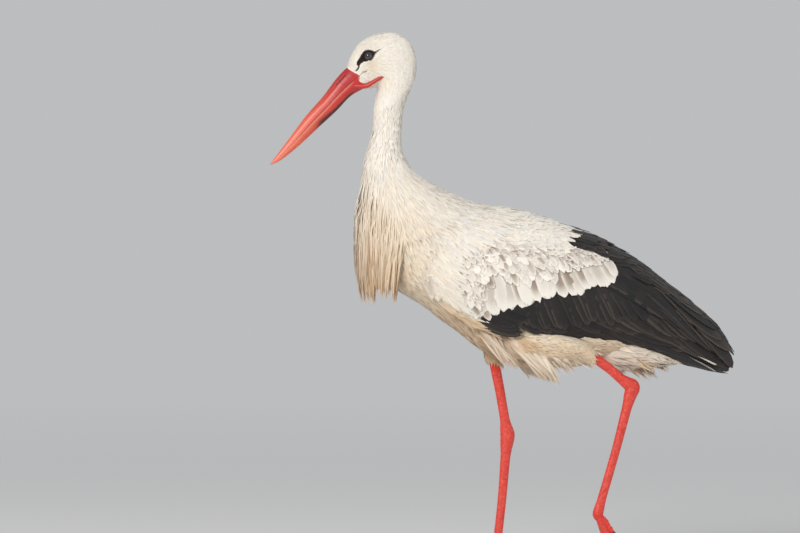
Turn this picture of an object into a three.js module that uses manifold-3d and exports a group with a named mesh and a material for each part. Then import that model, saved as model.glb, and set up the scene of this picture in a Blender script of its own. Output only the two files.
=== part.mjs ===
// White stork, walking, as a life-size still model.
// Millimetres, +Z up. The bird faces -Y and its left side is +X. The floor is Z = 0.
import * as THREE from "three";
import { mergeVertices } from "three/addons/utils/BufferGeometryUtils.js";
import Module from "manifold-3d";

const wasm = await Module();
wasm.setup();

// ---------------------------------------------------------------- driving dimensions

const GAP = 0.35; // clearance between neighbouring pieces
const V = (x, y, z) => new THREE.Vector3(x, y, z);

// Rings of the plumage from the bill root to the tail root: [back y, back z, front y, front z, half width].
const BODY = {
  face: [-247, 764, -234, 739, 12],
  lores: [-241, 780, -223, 731, 17],
  forehead: [-231, 797, -212, 732, 21.5],
  brow: [-217, 808, -204, 733.5, 25],
  crown: [-199, 814.5, -199.5, 732.5, 27],
  hindCrown: [-178, 816.5, -199, 728.5, 27.5],
  occiput: [-160, 810, -200.5, 724, 26.5],
  napeTop: [-147, 795, -202, 719.5, 25],
  nape: [-141, 773, -203.5, 714, 23.5],
  napeLow: [-142, 752, -205, 706, 22],
  neckTop: [-149, 732, -206, 697, 21],
  neckSlim: [-159, 707, -207, 683, 20.5],
  neckMid: [-163, 680, -208.5, 667, 20.5],
  neckLow: [-164, 657, -212, 651, 22],
  neckFlare: [-161, 637, -218, 634, 26],
  neckBase: [-153, 619, -222, 611, 32],
  collar: [-138, 603, -224, 587, 40],
  shoulder: [-115, 588.5, -225, 562, 50],
  breast: [-86, 575, -225, 534, 58],
  breastLow: [-52, 561, -221, 501, 66],
  keel: [-13, 551, -208, 470, 72],
  mantle: [26, 539, -181, 438, 77],
  back: [64, 523, -133, 407, 79],
  saddle: [100, 499, -81, 371, 77],
  loin: [134, 471, -32, 335, 71],
  flank: [165, 445, 18, 315, 62],
  rump: [192, 422, 78, 313, 51],
  vent: [214, 403, 138, 318, 39],
  tailRoot: [232, 388, 188, 327, 29],
  tailEnd: [244, 376, 222, 340, 17],
};

// Rings of the folded wings over the back, both sides in one, in the same form.
const WING = {
  front: [-118, 560, -172, 446, 56],
  bend: [-72, 553, -124, 388, 84],
  forearm: [-14, 554, -76, 346, 94],
  coverts: [44, 541, -20, 328, 97],
  middle: [92, 524, 40, 330, 96],
  elbow: [144, 502, 100, 338, 90],
  tertials: [192, 474, 154, 340, 80],
  hand: [236, 441, 206, 332, 66],
  primaries: [282, 405, 258, 318, 50],
  tips: [322, 368, 304, 301, 33],
  ends: [349, 325, 338, 296, 17],
};

// Rings of the closed tail, in the same form.
const TAIL = {
  root: [224, 378, 214, 344, 18],
  middle: [266, 346, 260, 326, 31],
  fan: [298, 327, 294, 315, 37],
  edge: [317, 314, 315, 309, 35],
};

// The soft mass of the undertail coverts, and the tufts that hang from it [root, tip].
const TAIL_COVERTS = {
  path: [V(0, 150, 340), V(0, 206, 332), V(0, 262, 322)],
  radii: [26, 22, 6],
  squeeze: 1.3,
  tufts: [
    [V(-18, 186, 330), V(-16.2, 212, 293)],
    [V(2, 189, 330), V(1.8, 217, 297)],
    [V(20, 192, 330), V(18, 212, 301)],
  ],
};

// Side outlines [y, z] of the feather groups of the folded wing; each is cut out of the ones after it.
const OUTLINE = {
  coverts: [
    [-128, 508], [-60, 514], [20, 511], [94, 502], [146, 478], [155, 458], [148, 438], [124, 437],
    [78, 425], [34, 412], [-2, 410], [-24, 413], [-50, 395], [-58, 384], [-84, 396], [-112, 422],
    [-134, 462],
  ],
  alula: [[-60, 388], [-30, 376], [-2, 378], [6, 362], [-2, 346], [-22, 350], [-46, 364], [-60, 376]],
  scapulars: [[60, 480], [70, 580], [160, 560], [262, 490], [250, 430], [214, 398], [140, 444]],
  secondaries: [
    [-44, 374], [-30, 430], [80, 450], [170, 470], [250, 430], [206, 316], [120, 342], [30, 352], [0, 356],
  ],
  primaries: [[190, 470], [240, 480], [380, 400], [380, 260], [300, 270], [196, 312]],
};

// Rings of the closed bill from its tip to inside the face, in the same form as the body's.
const BILL = {
  tip: [-364, 621, -363, 619.6, 1],
  end: [-356, 631, -351, 625, 2.6],
  far: [-335, 658, -323, 646, 5.2],
  middle: [-309, 692, -292, 674, 8.2],
  third: [-283, 721, -263, 700, 10.6],
  nostril: [-262, 748, -241, 722, 12.6],
  root: [-247, 763, -222, 732.5, 13.4],
  inside: [-239, 767, -208, 740, 10],
};
// The cutting edge between the halves [y, z], from inside the root to beyond the tip.
const BILL_EDGE = [
  [-200, 757], [-234, 750.5], [-240, 745.5], [-253.5, 733.5], [-267, 720], [-277, 709], [-301, 684.5],
  [-330, 653], [-370, 613],
];
const GAPE = [V(7.8, -243, 737.5), V(12.8, -224, 737), V(17.4, -211.5, 742), V(22, -191, 752.8)];
const GAPE_RADIUS = [3.2, 3.8, 3.1, 1.2];

const EYE = { centre: V(15.8, -217, 781.4), radius: 7.6 };

// Legs: the left one is lifting off its toe tips, the right one is planted.
const LEGS = {
  left: {
    thigh: [V(26, -30, 376), V(42, 24, 356), V(49, 70, 345), V(50, 106, 336)],
    tufts: [
      [V(52, 0, 352), V(56, 47, 289)],
      [V(60, 14, 350), V(60, 60, 285)],
      [V(46, 30, 345), V(50, 74, 308)],
    ],
    hock: V(46, 181, 283),
    ball: V(44, 128, 92.8),
    pitch: -112.5, // of the front toes, from level
    hindPitch: 50,
    spread: 0.4, // share of the standing foot's spread
  },
  right: {
    thigh: [V(-28, 6, 382), V(-36, -4, 364), V(-39, -11, 347), V(-39, -14, 332)],
    tufts: [],
    hock: V(-36, 7, 208),
    ball: V(-28, -14, 12.6),
    pitch: 0,
    hindPitch: 0,
    spread: 1,
  },
};
const SHANK = {
  thigh: [36, 33.5, 25, 14],
  tibia: [8.6, 7.6, 7.8],
  tarsus: [9.5, 7.2, 6.7, 6.7, 7.4],
  flat: 0.8,
};
const TUFT_RADIUS = 11;
const HOCK_RADIUS = 12;
const BALL_RADIUS = 8.6;
const TOES = {
  // bearing from straight ahead, positive to the outer side; length; radius at the root
  inner: { bearing: -32, length: 66, radius: 4.9 },
  middle: { bearing: 2, length: 88, radius: 5.2 },
  outer: { bearing: 34, length: 74, radius: 4.9 },
  hind: { bearing: 172, length: 36, radius: 4.5 },
};
const TOE_START = 4; // from the ball of the foot to the toe's first ring
const TOE_LIE = 0.8; // height of a toe's middle line over the floor, as a share of its radius
const LIFTED_TOE = [0, 1.5, 1, 0, -1, -2]; // heights of the middle line of a lifted foot's toe
// Radius of a toe along its length, as a share of its radius at the root.
const KNUCKLES = [1.15, 0.86, 1.0, 0.82, 0.94, 0.74];
const CLAW = { length: 14, radius: 3.2 };

// ---------------------------------------------------------------- materials

const finish = (color, roughness) => new THREE.MeshStandardMaterial({ color, roughness, metalness: 0 });
const WHITE = finish(0xe9e0d0, 0.9);
const CREAM = finish(0xd9c4a0, 0.95);
const BLACK = finish(0x1d1a1a, 0.6);
const BILL_RED = finish(0xc8301f, 0.4);
const LEG_RED = finish(0xd2221a, 0.5);
const HORN = finish(0x3b3230, 0.4);
const EYE_DARK = finish(0x0c0908, 0.05);

// ---------------------------------------------------------------- shape helpers

/** The geometry as a closed solid with its faces pointing out. */
function solidOf(geometry) {
  const bare = geometry.clone();
  bare.deleteAttribute("normal");
  bare.deleteAttribute("uv");
  const merged = mergeVertices(bare, 1e-3);
  const vertProperties = new Float32Array(merged.attributes.position.array);
  const triVerts = new Uint32Array(merged.index.array);
  const build = () => new wasm.Manifold(new wasm.Mesh({ numProp: 3, vertProperties, triVerts }));
  const made = build();
  if (made.volume() > 0) return made;
  for (let i = 0; i < triVerts.length; i += 3) {
    [triVerts[i + 1], triVerts[i + 2]] = [triVerts[i + 2], triVerts[i + 1]];
  }
  return build();
}

/** A closed tube: a cylinder whose rings are laid on ringAt(t) = { centre, up, side, along }. */
function tube(ringAt, steps, around, grow = 0) {
  const geometry = new THREE.CylinderGeometry(1, 1, 1, around, steps);
  const position = geometry.attributes.position;
  for (let i = 0; i < position.count; i += 1) {
    const t = THREE.MathUtils.clamp(position.getY(i) + 0.5, 0, 1);
    const ring = ringAt(t);
    const end = t === 0 ? -1 : t === 1 ? 1 : 0;
    const point = ring.centre.clone()
      .addScaledVector(ring.up, position.getZ(i) * (1 + grow / ring.up.length()))
      .addScaledVector(ring.side, position.getX(i) * (1 + grow / ring.side.length()))
      .addScaledVector(ring.along, end * grow);
    position.setXYZ(i, point.x, point.y, point.z);
  }
  return solidOf(geometry);
}

/** A smooth line through points, read at any share of the way from the first to the last. */
const line = (points) => new THREE.CatmullRomCurve3(points, false, "centripetal");

/** Rings of a record such as BODY as a function of the share of the way along it. */
function ringsOf(record) {
  const rows = Object.values(record);
  const back = line(rows.map(([y, z]) => V(0, y, z)));
  const front = line(rows.map(([, , y, z]) => V(0, y, z)));
  const width = line(rows.map((row, i) => V(row[4], i, 0)));
  return (t) => {
    const a = back.getPoint(t);
    const b = front.getPoint(t);
    const up = a.clone().sub(b).multiplyScalar(0.5);
    return {
      centre: a.clone().add(b).multiplyScalar(0.5),
      up,
      side: V(width.getPoint(t).x, 0, 0),
      along: V(0, up.z, -up.y).normalize(),
    };
  };
}

/** The stretch of a record's rings between two named ones, shortened at each end by `trim`. */
function stretch(record, from, to, { steps, around, grow = 0, trim = GAP / 2 }) {
  const names = Object.keys(record);
  const ringAt = ringsOf(record);
  const start = names.indexOf(from) / (names.length - 1);
  const end = names.indexOf(to) / (names.length - 1);
  return tube((t) => ringAt(start + (end - start) * t), steps, around, grow).trimByPlane(
    ...cut(ringAt(start), 1, trim - grow)).trimByPlane(...cut(ringAt(end), -1, trim - grow));
}

/** Plane of a ring, kept side first, moved by `inset` into the kept side. */
function cut(ring, sign, inset) {
  const normal = ring.along.clone().multiplyScalar(sign);
  return [normal.toArray(), normal.dot(ring.centre) + inset];
}

/** A tube of round or oval section through points, with a radius at each. */
function limb(points, radii, { squeeze = 1, steps = 10, around = 12, grow = 0, level = V(1, 0, 0) } = {}) {
  const path = line(points);
  const size = line(radii.map((r, i) => V(r, i, 0)));
  return tube((t) => {
    const along = path.getTangent(t).normalize();
    const side = level.clone().addScaledVector(along, -level.dot(along)).normalize();
    const up = along.clone().cross(side);
    const radius = size.getPoint(t).x;
    return { centre: path.getPoint(t), up: up.multiplyScalar(radius),
      side: side.multiplyScalar(radius * squeeze), along };
  }, steps, around, grow);
}

/** A ball. */
function ball(centre, radius, squeeze = 1, grow = 0) {
  const geometry = new THREE.SphereGeometry(radius + grow, 10, 6);
  return solidOf(geometry.scale(squeeze, 1, 1).translate(centre.x, centre.y, centre.z));
}

/** A side outline of [y, z] points, wound clockwise, as a prism from x = near to x = far. */
function prism(outline, near, far, grow = 0) {
  const points = outline.map(([y, z]) => new THREE.Vector2(y, z));
  const moved = points.map((point, i) => {
    const before = point.clone().sub(points.at(i - 1)).normalize();
    const after = points[(i + 1) % points.length].clone().sub(point).normalize();
    const outward = new THREE.Vector2(-before.y - after.y, before.x + after.x).normalize();
    return point.clone().addScaledVector(outward, grow);
  });
  const shape = new THREE.Shape(moved);
  const geometry = new THREE.ExtrudeGeometry(shape, { depth: far - near, bevelEnabled: false });
  const turn = new THREE.Matrix4().makeBasis(V(0, 1, 0), V(0, 0, 1), V(1, 0, 0));
  return solidOf(geometry.applyMatrix4(turn).translate(near, 0, 0));
}

/** A hanging plume: a slender lance from root to tip. */
const plume = (root, tip, radius, grow = 0) =>
  limb([root, root.clone().lerp(tip, 0.45).add(V(0, -1, 0)), tip], [radius, radius * 0.85, 0.6],
    { squeeze: 0.6, steps: 2, around: 6, grow });

const mirrored = (v) => V(-v.x, v.y, v.z);
const sum = (solids) => solids.reduce((all, one) => all.add(one));
const less = (solid, ...others) => others.reduce((rest, one) => rest.subtract(one), solid);

// ---------------------------------------------------------------- assembly

const stork = new THREE.Group();

/** Adds a solid as a named node of the model. */
function add(name, solid, material) {
  const made = solid.getMesh();
  const points = new Float32Array(made.numVert * 3);
  for (let i = 0; i < made.numVert; i += 1) {
    points.set(made.vertProperties.subarray(i * made.numProp, i * made.numProp + 3), i * 3);
  }
  const geometry = new THREE.BufferGeometry()
    .setAttribute("position", new THREE.BufferAttribute(points, 3))
    .setIndex(new THREE.BufferAttribute(new Uint32Array(made.triVerts), 1));
  geometry.computeVertexNormals();
  const mesh = new THREE.Mesh(geometry, material);
  mesh.name = name;
  stork.add(mesh);
}

// Bill: one spear, parted along the cutting edge; the rims of the gape belong to the lower half.
const bill = (grow = 0) => stretch(BILL, "tip", "inside", { steps: 8, around: 10, grow, trim: 0 });
const gape = (grow = 0) => [GAPE, GAPE.map(mirrored)].map((points) =>
  limb(points, GAPE_RADIUS, { steps: 4, around: 6, grow }));
const aboveEdge = prism([...BILL_EDGE, [-370, 900], [-200, 900]], -40, 40, -GAP / 2);
const belowEdge = prism([...BILL_EDGE, [-370, 500], [-200, 500]].reverse(), -40, 40, -GAP / 2);
add("bill_upper", less(bill().intersect(aboveEdge), ...gape(GAP)), BILL_RED);
add("bill_lower", bill().intersect(belowEdge).add(sum(gape())), BILL_RED);

// Head and neck, with the eyes set into their sockets.
const eyes = (grow) => [EYE.centre, mirrored(EYE.centre)].map((c) => ball(c, EYE.radius, 1, grow));
const head = stretch(BODY, "face", "napeLow", { steps: 9, around: 16 });
add("head", less(head, bill(GAP), ...gape(GAP), ...eyes(GAP)), WHITE);
eyes(0).forEach((eye, i) => add(i ? "eye_right" : "eye_left", eye, EYE_DARK));

// Neck in three lengths, and the trunk behind them.
const neckMiddle = (grow = 0) => stretch(BODY, "neckMid", "neckBase", { steps: 3, around: 16, grow });
const neckLower = (grow = 0) => stretch(BODY, "neckBase", "breast", { steps: 3, around: 16, grow });
const trunk = (grow = 0) => stretch(BODY, "breast", "tailEnd", { steps: 11, around: 18, grow });
add("neck_upper", stretch(BODY, "napeLow", "neckMid", { steps: 3, around: 16 }), WHITE);
add("neck_middle", neckMiddle(), WHITE);
add("neck_lower", neckLower(), WHITE);
add("trunk", trunk(), WHITE);

// Breast plumes: a bib that hangs from the lower neck and ends in separate points.
const BIB = {
  top: [-204, 614, -222, 608, 15],
  collar: [-188, 582, -231, 574, 36],
  full: [-176, 542, -237, 534, 50],
  hang: [-168, 502, -240, 496, 55],
  low: [-168, 466, -240, 462, 55],
  hem: [-174, 442, -237, 440, 51],
};
// Its points stand round an upright oval, each at a bearing from straight ahead, with the height of its tip.
const BIB_OVAL = { y: -205, wide: 45, deep: 27, rootZ: 472, radius: 9 };
const BIB_POINTS = [
  [-118, 424], [-84, 418], [-50, 414], [-17, 415], [17, 407], [50, 409], [84, 412], [118, 412],
];
function breastPlumes() {
  const bib = stretch(BIB, "top", "hem", { steps: 4, around: 16 });
  const points = BIB_POINTS.map(([bearing, tipZ]) => {
    const turn = THREE.MathUtils.degToRad(bearing);
    const ahead = BIB_OVAL.deep * Math.cos(turn);
    const root = V(BIB_OVAL.wide * Math.sin(turn), BIB_OVAL.y - ahead, BIB_OVAL.rootZ);
    return plume(root, root.clone().setZ(tipZ), BIB_OVAL.radius);
  });
  return bib.add(sum(points));
}
const bodyCut = sum([neckMiddle(GAP), neckLower(GAP), trunk(GAP)]);
add("breast_plumes", less(breastPlumes(), bodyCut), CREAM);

// Tail, closed, under the wing tips; its coverts hang below it.
const tail = (grow = 0) => stretch(TAIL, "root", "edge", { steps: 4, around: 10, grow, trim: 0 });
function tailCoverts(grow = 0) {
  const { path, radii, squeeze, tufts } = TAIL_COVERTS;
  const mass = limb(path, radii, { squeeze, steps: 3, around: 10, grow });
  return mass.add(sum(tufts.map(([root, tip]) => plume(root, tip, TUFT_RADIUS, grow))));
}
add("tail", less(tail(), bodyCut), WHITE);
add("undertail_coverts", less(tailCoverts(), bodyCut, tail(GAP)), WHITE);

// Wings: the shell between the body and the wing rings, parted by the side outlines.
const wings = (grow = 0) => stretch(WING, "front", "ends", { steps: 11, around: 18, grow, trim: 0 });
const wingShell = less(wings(), bodyCut, tail(GAP), tailCoverts(GAP));
const INNER = { coverts: 12, alula: 20, scapulars: GAP / 2, secondaries: 24, primaries: GAP / 2 };
const groups = Object.keys(OUTLINE);
for (const [word, leg] of Object.entries(LEGS)) {
  groups.forEach((group, i) => {
    const inner = INNER[group];
    const [near, far] = leg.ball.x > 0 ? [inner, 150] : [-150, -inner];
    const cutters = groups.slice(0, i).map((other) => prism(OUTLINE[other], -160, 160, GAP));
    const piece = less(wingShell.intersect(prism(OUTLINE[group], near, far)), ...cutters);
    add(`wing_${group}_${word}`, piece, group === "coverts" ? WHITE : BLACK);
  });
}

// Legs, each divided where the feathers end, at the hock and at the ball of the foot.
/** Turns a place of the flat standing foot, given from its ball, into the pose of one leg's foot. */
function footPlace(leg, bearing, ahead, height, sign) {
  const hind = Math.abs(bearing) > 90;
  const turn = THREE.MathUtils.degToRad(bearing * (hind ? 1 : leg.spread));
  const tilt = THREE.MathUtils.degToRad(-(hind ? leg.hindPitch : leg.pitch));
  const level = leg.pitch ? 0 : leg.ball.z;
  const flat = V(sign * ahead * Math.sin(turn), -ahead * Math.cos(turn), height - level);
  return flat.applyAxisAngle(V(1, 0, 0), tilt).add(leg.ball);
}

/** One toe as a knuckled limb and its claw. */
function toe(leg, sign, { bearing, length, radius }, grow = 0) {
  const low = radius * TOE_LIE;
  const at = (ahead, height) => footPlace(leg, bearing, ahead, height, sign);
  const standing = [leg.ball.z - 2, low + 2.6, low, low * 0.95, low * 0.9, low * 0.75];
  const heights = leg.pitch ? LIFTED_TOE : standing;
  const step = (length - TOE_START) / (heights.length - 1);
  const path = heights.map((height, i) => at(TOE_START + step * i, height));
  const end = heights.at(-1);
  const claw = [
    at(length - 2, end + 0.6),
    at(length + CLAW.length * 0.45, end + 0.6),
    at(length + CLAW.length, end - (leg.pitch ? 1.5 : 2.1)),
  ];
  return {
    digit: limb(path, KNUCKLES.map((share) => share * radius), { steps: 5, around: 6, grow }),
    claw: limb(claw, [CLAW.radius, CLAW.radius * 0.8, 0.8], { squeeze: 0.75, steps: 2, around: 6 }),
  };
}

const FLOOR = [[0, 0, 1], 0];
const wingSpace = wings(GAP);
for (const [word, leg] of Object.entries(LEGS)) {
  const sign = Math.sign(leg.ball.x);
  const section = { squeeze: SHANK.flat, around: 8 };
  const feathers = limb(leg.thigh, SHANK.thigh, { squeeze: 0.85, steps: 5, around: 12 });
  const knee = leg.thigh.at(-1).clone().lerp(leg.thigh.at(-2), 0.35);
  const drumstick = [knee, leg.thigh.at(-1), leg.hock];
  const tibia = (grow) => limb(drumstick, SHANK.tibia, { ...section, steps: 4, grow });
  const hock = (grow) => ball(leg.hock, HOCK_RADIUS, 0.72, grow);
  const foot = (grow) => ball(leg.ball, BALL_RADIUS, 0.9, grow);
  const bow = leg.hock.clone().lerp(leg.ball, 0.5).add(V(0, 1, 0));
  const tarsus = limb([leg.hock, bow, leg.ball], SHANK.tarsus, { ...section, steps: 5 });
  const tufts = leg.tufts.map(([root, tip]) => plume(root, tip, TUFT_RADIUS));
  add(`thigh_${word}`, less(sum([feathers, ...tufts]), bodyCut, wingSpace, tibia(GAP)), WHITE);
  add(`tibia_${word}`, less(tibia(0), hock(GAP), bodyCut), LEG_RED);
  add(`tarsus_${word}`, tarsus.add(hock(0)).add(foot(0)).trimByPlane(...FLOOR), LEG_RED);
  const taken = [foot(GAP)];
  for (const [name, shape] of Object.entries(TOES)) {
    const { digit, claw } = toe(leg, sign, shape);
    const space = toe(leg, sign, shape, GAP).digit;
    add(`toe_${name}_${word}`, less(digit, ...taken).trimByPlane(...FLOOR), LEG_RED);
    add(`claw_${name}_${word}`, less(claw, space).trimByPlane(...FLOOR), HORN);
    taken.push(space);
  }
}

// The origin lies on the floor, midway between bill tip and wing tips.
stork.position.y = 7.5;

export default stork;
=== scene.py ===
"""White stork, walking: skin, coat, bill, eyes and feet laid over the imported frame."""

import sys

import logging
import math
from collections.abc import Callable
from dataclasses import dataclass
from enum import Enum

import bmesh
import bpy
import numpy as np
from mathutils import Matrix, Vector
from mathutils.bvhtree import BVHTree
from mathutils.kdtree import KDTree


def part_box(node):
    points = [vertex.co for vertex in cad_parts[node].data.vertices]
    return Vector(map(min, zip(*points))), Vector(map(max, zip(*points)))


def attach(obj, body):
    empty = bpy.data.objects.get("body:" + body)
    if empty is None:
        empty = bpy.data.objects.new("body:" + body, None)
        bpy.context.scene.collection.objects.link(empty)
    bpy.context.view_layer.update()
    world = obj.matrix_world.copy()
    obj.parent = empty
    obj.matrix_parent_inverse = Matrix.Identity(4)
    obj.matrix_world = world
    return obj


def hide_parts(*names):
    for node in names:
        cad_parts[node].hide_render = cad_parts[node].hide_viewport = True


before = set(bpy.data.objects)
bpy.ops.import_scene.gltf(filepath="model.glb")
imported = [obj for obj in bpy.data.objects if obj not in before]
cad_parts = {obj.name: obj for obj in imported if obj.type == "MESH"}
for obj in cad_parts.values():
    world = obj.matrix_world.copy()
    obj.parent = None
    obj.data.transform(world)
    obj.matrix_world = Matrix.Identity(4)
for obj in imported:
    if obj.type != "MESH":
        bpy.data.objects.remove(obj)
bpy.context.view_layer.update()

MM = 0.001  # the lists below are in millimetres
BODY = "root"
Array = np.ndarray
Reading = float | tuple | Callable[[Array], Array]  # by row: a number, (rows, numbers) or a function
log = logging.getLogger("stork")


# ------------------------------------------------------------------ lines, rings and tubes


def unit(vectors: Array) -> Array:
    """Vectors at length one."""
    return vectors / np.maximum(np.linalg.norm(vectors, axis=-1, keepdims=True), 1e-9)


def ease(low: float, high: float, value: Array) -> Array:
    """A smooth step from 0 at low to 1 at high."""
    share = np.clip((value - low) / (high - low), 0.0, 1.0)
    return share * share * (3 - 2 * share)


def bell(value: Array, width: float) -> Array:
    """A soft hump, 1 where the value is 0."""
    return np.exp(-((value / width) ** 2))


def hump(value: Array, size: tuple[float, float]) -> Array:
    """A bell with a height and a width."""
    return size[0] * bell(value, size[1])


def mix(first: Array, second: Array, share: Array) -> Array:
    """From first at share 0 to second at share 1."""
    return first * (1 - share) + second * share


def read(reading: Reading, row: Array) -> Array:
    """Args: reading: a value by row. row: row numbers. Returns: the value at each."""
    if callable(reading):
        return reading(row)
    if isinstance(reading, tuple):
        return np.interp(row, *reading)
    return np.full(len(row), float(reading))


def linked(count: int) -> list[tuple[int, int]]:
    """Each number below count with the one after it, the last with 0."""
    return [(i, (i + 1) % count) for i in range(count)]


def ring_faces(rings: int, around: int) -> list[tuple[int, ...]]:
    """Faces between rings of points, and from both end rings to the two points that follow them."""
    faces = []
    for k in range(rings - 1):
        low, high = k * around, (k + 1) * around
        faces += [(low + i, low + j, high + j, high + i) for i, j in linked(around)]
    first, final, top = rings * around, rings * around + 1, (rings - 1) * around
    for i, j in linked(around):
        faces += [(first, j, i), (final, top + i, top + j)]
    return faces


class Line:
    """A smooth line through points, read at a row number (centripetal Catmull-Rom)."""

    def __init__(self, points: list) -> None:
        """Args: points: the rows that the line goes through."""
        p = np.asarray(points, float)
        rows = np.vstack([2 * p[0] - p[1], p, 2 * p[-1] - p[-2]])
        gap = np.maximum(np.sqrt(np.linalg.norm(np.diff(rows, axis=0), axis=1)), 1e-3)[:, None]
        before, inside, after = gap[:-2], gap[1:-1], gap[2:]
        a, b, c, d = rows[:-3], rows[1:-2], rows[2:-1], rows[3:]
        leave = ((b - a) / before - (c - a) / (before + inside) + (c - b) / inside) * inside
        reach = ((c - b) / inside - (d - b) / (inside + after) + (d - c) / after) * inside
        self.knots = (b, c, leave, reach)
        self.last = len(p) - 1

    def at(self, row: Array) -> Array:
        """Args: row: row numbers, whole or between. Returns: the points there."""
        row = np.asarray(row, float)
        k = np.clip(np.floor(row).astype(int), 0, self.last - 1)
        w = (row - k)[..., None]
        b, c, leave, reach = (part[k] for part in self.knots)
        w2, w3 = w * w, w * w * w
        return (
            (2 * w3 - 3 * w2 + 1) * b
            + (w3 - 2 * w2 + w) * leave
            + (3 * w2 - 2 * w3) * c
            + (w3 - w2) * reach
        )


@dataclass(frozen=True)
class Ring:
    """One cross-section: its back and front points (y, z) and half its width."""

    name: str
    back: tuple[float, float]
    front: tuple[float, float]
    half: float


class Tube:
    """A surface of oval rings, read at a row along it and a turn round it (0 is its back)."""

    STEP = 1e-3  # in rows and radians, for slopes
    SAMPLES = 160  # rings asked for the nearest one

    last: float

    def section(self, row: Array) -> tuple[Array, Array, Array]:
        """Args: row: row numbers. Returns: centre, up and side vectors of the rings."""
        raise NotImplementedError

    def at(self, row: Array, turn: Array, grow: Array = 0.0) -> Array:
        """Args: row, turn: the place. grow: height over the surface. Returns: points."""
        centre, up, side = self.section(row)
        tall = np.linalg.norm(up, axis=-1)
        wide = np.linalg.norm(side, axis=-1)
        rise = np.cos(turn) * (1 + grow / np.maximum(tall, 0.5))
        reach = np.sin(turn) * (1 + grow / np.maximum(wide, 0.5))
        return centre + up * rise[..., None] + side * reach[..., None]

    def basis(self, row: Array, turn: Array) -> tuple[Array, Array, Array, Array, Array]:
        """Args: row, turn: the place.

        Returns: unit lie, unit round and outward normal, and millimetres per row and turn.
        """
        step = self.STEP
        lie = (self.at(row + step, turn) - self.at(row - step, turn)) / (2 * step)
        around = (self.at(row, turn + step) - self.at(row, turn - step)) / (2 * step)
        normal = unit(np.cross(around, lie))
        per_row = np.linalg.norm(lie, axis=-1)
        per_turn = np.linalg.norm(around, axis=-1)
        return unit(lie), unit(around), normal, per_row, per_turn

    def unwrap(self, points: Array) -> Array:
        """Args: points: (N, 3) near the surface. Returns: (N, 2), turn and row, each 0 to 1."""
        rows = np.linspace(0, self.last, self.SAMPLES)
        centre, up, side = self.section(rows)
        across = unit(np.cross(up, side))
        offset = points[:, None] - centre
        gap = np.abs((offset * across).sum(-1)) + 0.2 * np.linalg.norm(offset, axis=-1)
        best = gap.argmin(1)
        offset = offset[np.arange(len(points)), best]
        turn = np.arctan2((offset * unit(side[best])).sum(-1), (offset * unit(up[best])).sum(-1))
        return np.stack([(turn / (2 * np.pi)) % 1.0, rows[best] / self.last], -1)

    def grid(self, rows: Array, around: int, grow: Array = 0.0) -> tuple[Array, list]:
        """A closed mesh of the tube, with both ends capped.

        Args:
            rows: the row numbers of its rings.
            around: points in each ring.
            grow: height over the surface, one or one per ring.

        Returns: points in millimetres and faces.
        """
        turn = np.linspace(0, 2 * np.pi, around, endpoint=False)
        height = np.broadcast_to(np.asarray(grow, float).reshape(-1, 1), (len(rows), around))
        points = self.at(rows[:, None] + 0 * turn, turn + 0 * rows[:, None], height)
        ends = points[[0, -1]].mean(1)
        return np.vstack([points.reshape(-1, 3), ends]), ring_faces(len(rows), around)


class Loft(Tube):
    """A tube through named rings that stand across the bird."""

    def __init__(self, rings: tuple[Ring, ...]) -> None:
        """Args: rings: from head to tail."""
        self.back = Line([ring.back for ring in rings])
        self.front = Line([ring.front for ring in rings])
        self.half = Line([(ring.half, i) for i, ring in enumerate(rings)])
        self.last = len(rings) - 1

    def section(self, row: Array) -> tuple[Array, Array, Array]:
        """See Tube.section."""
        back, front, half = self.back.at(row), self.front.at(row), self.half.at(row)[..., :1]
        flat = np.zeros_like(half)
        centre = np.concatenate([flat, (back + front) / 2], -1)
        up = np.concatenate([flat, (back - front) / 2], -1)
        return centre, up, np.concatenate([half, flat, flat], -1)


class Limb(Tube):
    """A tube along a line through space, level across its sides."""

    def __init__(self, points: list, radii: list, squeeze: float = 1.0) -> None:
        """Args: points, radii: the line and its radius at each point. squeeze: width share."""
        self.path = Line(points)
        self.size = Line([(radius, i) for i, radius in enumerate(radii)])
        self.squeeze = squeeze
        self.last = len(points) - 1

    def section(self, row: Array) -> tuple[Array, Array, Array]:
        """See Tube.section."""
        row = np.asarray(row, float)
        along = unit(self.path.at(row + self.STEP) - self.path.at(row - self.STEP))
        level = np.zeros_like(along)
        level[..., 0] = 1.0
        side = unit(level - along * (along * level).sum(-1, keepdims=True))
        up = np.cross(side, along)
        radius = self.size.at(row)[..., :1]
        return self.path.at(row), up * radius, side * radius * self.squeeze


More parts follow.
